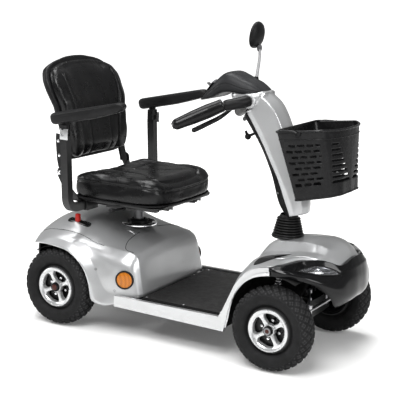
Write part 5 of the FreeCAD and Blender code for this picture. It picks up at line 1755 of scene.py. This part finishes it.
# walls of a square socket at the side: x range, z range
SOCKET_WALLS = [(-422, -378, 422.5, 425.0), (-422, -378, 455.5, 459), (-422, -416.5, 423, 458),
                (-383.5, -378, 423, 458)]
EAR = [(-404, 459), (-432, 461), (-462, 482), (-484, 512), (-500, 540), (-502, 557), (-494, 569),
       (-480, 571), (-470, 562), (-465, 534), (-444, 502), (-412, 474)]  # x, z
EAR_LAYERS = [(0.965, 206.4), (1.0, 207.4), (1.0, 211.2), (0.965, 212.2)]  # scale, y
HINGE_PIN = [(0.1, 205.5), (7.6, 205.5), (7.6, 221), (6.5, 222), (0.1, 222)]  # radius, y


def hinge_ear(side):
    outline = curve(EAR, 4)
    centre = outline.mean(0)
    layers = []
    for scale, y in EAR_LAYERS:
        ring = centre + (outline - centre) * scale
        layers.append([(x, side * y, z) for x, z in ring])
    verts, faces = grid_mesh(layers, wrap_v=True)
    n = len(outline)
    faces.append(tuple(range(n)))
    faces.append(tuple(3 * n + k for k in range(n - 1, -1, -1)))
    return verts, faces


def seat_pan():
    """Tray with a rolled edge, slide rails, side sockets and hinge ears with pins."""
    tray = [[(x, y, z) for x, y in rounded_plan(-450 + inset * 0.6, -66 - inset, -214 + inset,
                                                214 - inset, 46, 8)] for inset, z in TRAY_RINGS]
    verts, faces = grid_mesh(tray, wrap_v=True)
    faces.append(tuple(range(len(tray[0]))))
    parts = [(verts, faces, 0)]
    for side, _ in SIDES:
        rail_y = side * 100
        for y0, y1, z0, z1 in RAIL_BLOCKS:
            parts.append((*block(-436, -84, rail_y + y0, rail_y + y1, z0, z1, 1.2), 1))
        for x0, x1, z0, z1 in SOCKET_WALLS:
            parts.append((*block(x0, x1, 128 * side, 198 * side, z0, z1, 1), 1))
        parts.append((*hinge_ear(side), 1))
        parts.append((*revolve_outward(HINGE_PIN, 20, side, HINGE_X, 0, HINGE_Z), 2))
        parts.append((*block(-452, -400, 198 * side, 213 * side, 456, 462, 1.5), 1))
    o = build("seat_pan_tray", join(parts), ["frame_coat", "frame_coat", "dark_steel"], sharp=0)
    clean(o, 0.005)
    mark_sharp(o, 35)
    place(o, "seat", "seat_pan")


seat_pan()

# ================================================================ backrest
# cushion and shell share one curved surface: (z, x) up its middle
BACK_CURVE = [(585, -474), (620, -474), (664, -476), (720, -483), (799, -500), (873, -534),
              (915, -558), (956, -572)]
BACK_MIDDLE_Z = 770.0
# left half of the outline, (y, z) from the bottom to the top
BACK_HALF = [(0, 592), (70, 592), (128, 592), (162, 598), (176, 620), (182, 660), (190, 710),
             (200, 770), (208, 820), (210, 862), (202, 898), (176, 926), (124, 944), (60, 953),
             (0, 955)]
BACK_SEAM = [(104, 598), (112, 650), (122, 720), (138, 790), (150, 850), (150, 902)]
BACK_INNER_SEAM = [(62, 600), (64, 700), (66, 800)]
SHELL_LEVELS = [
    (0.12, 1), (0.4, 1), (0.7, 1), (0.9, 1), (0.975, 1.0), (0.995, 0.9), (1.0, 0.6),
    (0.995, 0.35), (0.98, 0.18), (0.95, 0.08), (0.88, 0.02), (0.75, 0.0), (0.5, 0), (0.25, 0)]

back_seams = [curve([(side * y, z) for y, z in BACK_SEAM], 5) for side, _ in SIDES]
back_inner_seams = [curve([(side * y, z) for y, z in BACK_INNER_SEAM], 5) for side, _ in SIDES]


def back_x(z):
    return np.interp(z, *zip(*BACK_CURVE))


def back_outline(grow):
    loop = with_mirror(curve(BACK_HALF, 5), [-1, 1], first=1)
    loop = resample(loop, 132, closed=True)
    away = loop - np.array([0, BACK_MIDDLE_Z])
    return loop + away / np.linalg.norm(away, axis=1)[:, None] * grow


def back_mesh(outline, levels, front, rear):
    """Pad between two offsets from the back curve, front(y, z) and rear(y, z)."""
    def point(y, z, height):
        slope = (back_x(z + 4) - back_x(z - 4)) / 8.0
        normal = np.array([1.0, 0, -slope])
        normal /= np.linalg.norm(normal)
        offset = rear(y, z) + (front(y, z) - rear(y, z)) * height
        return back_x(z) + normal[0] * offset, y, z + normal[2] * offset

    poles = [(back_x(BACK_MIDDLE_Z) + face(0, BACK_MIDDLE_Z), 0, BACK_MIDDLE_Z)
             for face in (front, rear)]
    return pad(outline, (0, BACK_MIDDLE_Z), levels, point, poles)


def back_front(y, z):
    return (17.0 + 5.0 * smoothstep(abs(y), 100, 160) - 9 * smoothstep(z, 860, 945)
            + 3.0 * bell(z - 650, 45.0))


def back_rear(y, z):
    return (-34.0 - 6 * smoothstep(z, 800, 890) + 16 * smoothstep(z, 915, 955)
            + 4.0 * bell(y, 120.0, power=4))


def back_relief(points, normals):
    _, y, z = points.T
    front = np.zeros(len(points))
    for seam in back_seams:
        away = line_distance(points[:, 1:], seam)
        front -= 4.4 * bell(away, 5.0) + 1.6 * bell(away, 15.0)
    for seam in back_inner_seams:
        away = line_distance(points[:, 1:], seam)
        front -= (1.9 * bell(away, 4.5) + 0.8 * bell(away, 16.0)) * (1 - smoothstep(z, 720, 810))
    # sunk middle, lumbar roll and side bolsters
    front -= 6.0 * bell(z - 770, 130.0) * bell(y, 78.0)
    front += 2.4 * bell(z - 640, 26.0) * bell(y, 90, power=4)
    front += 3.2 * bell(np.abs(y) - 163, 17.0) * bell(z - 760, 120.0, power=4)
    wrinkles = 0.6 * np.sin(z / 23.0 + 1.1 * np.sin(y / 31.0)) * np.sin(y / 27.0)
    return np.where(normals[:, 0] > 0.35, front, 0) + wrinkles


def back_cushion():
    mesh = back_mesh(back_outline(-6), CUSHION_LEVELS, back_front, lambda y, z: -14.0)
    o = build("backrest_pad", mesh, "vinyl", sharp=0)
    clean(o)
    inflate(o, limit=8, is_pinned=lambda p: p[0] < back_x(p[2]) - 11)
    emboss(o, back_relief)
    return place(o, "backrest", "backrest_cushion")


cushion_surface = surface_of(back_cushion())
for (side, label), seam in zip(SIDES, back_seams):
    path = drape(cushion_surface, [(-300, y + side * 5.0, z) for y, z in seam], (-1, 0, 0), 0.0)
    add("backrest_piping_" + label, tube(path, 2.3, 8), "vinyl_side", "backrest")

shell = build("backrest_hard_shell",
              back_mesh(back_outline(3), SHELL_LEVELS, lambda y, z: -10.0, back_rear),
              "black_abs", sharp=0)
clean(shell)
place(shell, "backrest", "backrest_shell")
shell_surface = surface_of(shell)
starts = [(-800, y, z) for y in (-120, 120) for z in (660, 850)]
screws = [bolt(point, normal, radius=6.5, height=2.6)
          for point, normal in hits(shell_surface, starts, (1, 0, 0), 0.0)]
add("backrest_screws", join(screws), "steel", "backrest")
for k, w in enumerate((88, 66)):
    plan = rounded_plan(-w, w, 700 - w * 0.7, 800 + w * 0.8, 34, 10)
    path = close_loop(drape(shell_surface, [(-800, y, z) for y, z in plan], (1, 0, 0), 0.1))
    add("backrest_bead_%d" % k, tube(path, 1.5, 7, caps=False), "black_abs", "backrest")

# x, z, half width up the strap from the pan to the shell
STRAP = [(-485, 540, 15), (-486, 556, 17), (-496, 590, 16), (-501, 625, 15), (-505, 662, 14),
         (-509, 690, 9)]
STRAP_SECTION = [(1, 196), (0.9, 200.5), (0, 202), (-0.9, 200.5), (-1, 196)]  # part of width, y
for side, label in SIDES:
    rows = [[(x + half * part, side * y, z) for part, y in STRAP_SECTION]
            for x, z, half in curve(STRAP, 5)]
    sheet("hinge_strap_" + label, rows, "pad_grey", "backrest", wall=4.0,
          centre=(-495, side * 150, 610))
    outward = (0, side, 0)
    add("hinge_bolt_pan_" + label,
        bolt((HINGE_X, side * 222.5, HINGE_Z), outward, radius=8.5, height=5), "chrome", "seat")
    bolts = [bolt((x, side * y, z), outward, radius=6.5, height=4)
             for x, y, z in ((-499, 202.5, 612), (-505, 202, 664))]
    add("hinge_bolts_" + label, join(bolts), "chrome", "backrest")

# ================================================================ armrests
ARM_SLOPE = math.radians(12.2)
ARM_Y = 285.0
ARM_HALF_WIDTH = 26.0
ARM_HALF_HEIGHT = 21.5
ARM_STATIONS = np.r_[0, 0.006, 0.02, 0.045, 0.08, np.linspace(0.12, 0.86, 16),
                     0.90, 0.935, 0.965, 0.985, 0.996, 1.0]


def round_end(distance, reach, power):
    """Rises from 0 at an end to 1 at its reach."""
    return math.sqrt(1 - (1 - min(1, distance / reach)) ** power)


def arm_pad(side, label):
    """Rounded pad rising forward, fitted to the extent of its CAD node."""
    along = np.array([np.cos(ARM_SLOPE), np.sin(ARM_SLOPE)])
    across = np.array([-along[1], along[0]])
    cad = np.array([v.co for v in NODES["armrest_pad_" + label].data.vertices]) / MM
    cad = cad[:, [0, 2]]
    start, end = (cad @ along).min(), (cad @ along).max()
    top = (cad @ across).max() - 1.0
    rows = []
    for t in ARM_STATIONS:
        rounding = max(0.04, min(round_end(t, 0.05, 2.4), round_end(1 - t, 0.09, 2.2)))
        width = (ARM_HALF_WIDTH * (0.90 + 0.10 * math.sin(math.pi * t))
                 * (0.35 + 0.65 * rounding))
        full_height = ARM_HALF_HEIGHT - 6.0 * max(0.0, (t - 0.5) / 0.5) ** 1.4
        height = full_height * rounding
        row = []
        for k in range(36):
            a = 2 * math.pi * k / 36
            c, s = superellipse(a, 3.4)
            y, rise = c * width, s * height
            if rise < 0:
                y *= 0.93
            if abs(math.cos(a)) > 0.6:  # parting groove along the side
                y *= 1 - 0.045 * math.exp(-((rise - height * 0.35) / 2.2) ** 2)
            x, z = along * (start + (end - start) * t) + across * (top - full_height + rise)
            row.append((x, side * ARM_Y + y, z))
        rows.append(row)
    o = build("arm_pad_" + label, grid_mesh(rows, wrap_v=True), "pad_grey", sharp=0)
    weld_and_cap(o, boundary_only=True)
    subdivide = o.modifiers.new("sub", "SUBSURF")
    subdivide.levels = 1
    subdivide.render_levels = 1
    place(o, "armpad_" + label, "armrest_pad_" + label)


for side, label in SIDES:
    arm_pad(side, label)
    inner, outer = side * 300.5, side * 303.5
    bracket = join([(*block(-424, -390, inner, outer, 690, 729, 3), 0),
                    (*bolt((-412, outer, 706), (0, side, 0), radius=5.5, height=3.5), 1)])
    add("arm_bracket_" + label, bracket, ["alu_strip", "steel"], "armrest_" + label)
    add("arm_lug_" + label, block(-423, -401, side * 276, side * 294, 718, 752, 3), "black_abs",
        "armpad_" + label, sharp=40)

# ================================================================ small fittings
bolts = [bolt((x, y, 447), UP, radius=6, height=3) for x in (-380, -160) for y in (100, -100)]
add("swivel_plate_bolts", join(bolts), "steel", "swivel")

# lever body, outer and inner end of its knob's axis
LEVERS = [("swivel_lever", (-100, 100, 444), (-125, 89, 443)),
          ("slide_lever", (-256, -230, 445), (-256, -205, 442.3))]
for body, outer, inner in LEVERS:
    outer, inner = np.array(outer, float), np.array(inner, float)
    along = (inner - outer) / np.linalg.norm(inner - outer)
    path = [outer - along * 2 + along * t for t in (0, 2, 5, 12, 20, 27, 30)]
    add(body + "_knob", tube(path, [3, 6.4, 7.4, 7.2, 6.6, 6.0, 5.0], 16), "grip_rubber", body)

screws = [bolt((x, side * 222, 152), UP, radius=5.0, height=1.6)
          for x in (-100, 50, 198) for side, _ in SIDES]
add("deck_screws", join(screws), "steel", "chassis")


# ================================================================ studio (metres)
def studio_paper():
    """Near-white paper that also glows towards the camera, more so away from the middle."""
    g = Shader("studio_paper")
    patches = g.cloud(to=(0.0, 0.3), of=(0.4, 0.7), scale=3.0, detail=3)
    g.surface(color=g.mix(patches, (0.90, 0.90, 0.895), (0.87, 0.87, 0.866)), rough=0.9)
    camera_ray = g.node("LightPath", "Is Camera Ray", {})
    position = g.node("NewGeometry", "Position", {})
    x = g.node("SeparateXYZ", 0, {0: position})
    y = x.node.outputs[1]
    squares = g.math("ADD", g.math("MULTIPLY", x, x), g.math("MULTIPLY", y, y))
    glow = g.remap(g.math("SQRT", squares), to=(0.10, 0.75), of=(1.2, 4.5))
    g.surface(glow_color=(1, 1, 1), glow=g.math("MULTIPLY", glow, camera_ray))
    return g.material


def studio_floor():
    """Round floor, flat for nine metres and then curving up as a wall."""
    flat, sweep, drop = 9, 9, 0.0006
    profile = [(0.001, 0), (2.0, 0), (5.0, 0), (flat, 0)]
    profile += [(flat + sweep * math.sin(t), sweep * (1 - math.cos(t)))
                for t in np.linspace(0.08, 1.35, 14)]
    verts, faces = revolve([(r, z - drop) for r, z in profile], 96, "z")
    mesh = bpy.data.meshes.new("studio_floor")
    mesh.from_pydata(verts, [], faces)
    floor = bpy.data.objects.new("studio_floor", mesh)
    bpy.context.scene.collection.objects.link(floor)
    smooth(mesh)
    mesh.materials.append(studio_paper())


studio_floor()

scene = bpy.context.scene
world = scene.world or bpy.data.worlds.new("World")
scene.world = world
world.use_nodes = True
world_nodes = world.node_tree.nodes
background = world_nodes.get("Background") or world_nodes.new("ShaderNodeBackground")
background.inputs["Color"].default_value = (1.0, 1.0, 1.0, 1)
background.inputs["Strength"].default_value = 0.24


def softbox(name, location, target, width, height, power):
    light = bpy.data.lights.new(name, "AREA")
    light.shape = "RECTANGLE"
    light.size = width
    light.size_y = height
    light.energy = power
    o = bpy.data.objects.new(name, light)
    scene.collection.objects.link(o)
    o.location = location
    o.rotation_mode = "QUATERNION"
    o.rotation_quaternion = (Vector(target) - Vector(location)).to_track_quat("-Z", "Y")


softbox("key_softbox", location=(0.6, -3.4, 4.2), target=(0, 0, 0.4), width=2.6, height=2.6,
        power=185)
softbox("top_softbox", location=(-0.6, 0.6, 4.6), target=(0, 0, 0.4), width=3.0, height=3.0,
        power=150)
softbox("front_strip", location=(4.2, -1.2, 2.2), target=(0, 0, 0.4), width=1.4, height=2.6,
        power=70)
softbox("rear_strip", location=(-4.0, -1.8, 2.0), target=(-0.2, 0, 0.5), width=1.4, height=2.6,
        power=55)


def add_camera():
    """Long lens looking from the front right, slightly downwards."""
    data = bpy.data.cameras.new("camera")
    camera = bpy.data.objects.new("camera", data)
    scene.collection.objects.link(camera)
    forward = Vector((-0.4804, 0.8522, -0.2073))
    forward.normalize()
    right = Vector((0.8674, 0.4967, 0.0317))
    right = (right - forward * right.dot(forward)).normalized()
    up = right.cross(forward)
    matrix = Matrix((right, up, -forward)).transposed().to_4x4()
    matrix.translation = Vector((1.9153, -3.4384, 1.3115))
    camera.matrix_world = matrix
    data.sensor_width = 36.0
    data.lens = 100.89153
    data.clip_start = 0.1
    data.clip_end = 200
    scene.camera = camera


add_camera()
scene.view_settings.view_transform = "Standard"
scene.view_settings.exposure = 0.2
scene.view_settings.gamma = 0.86
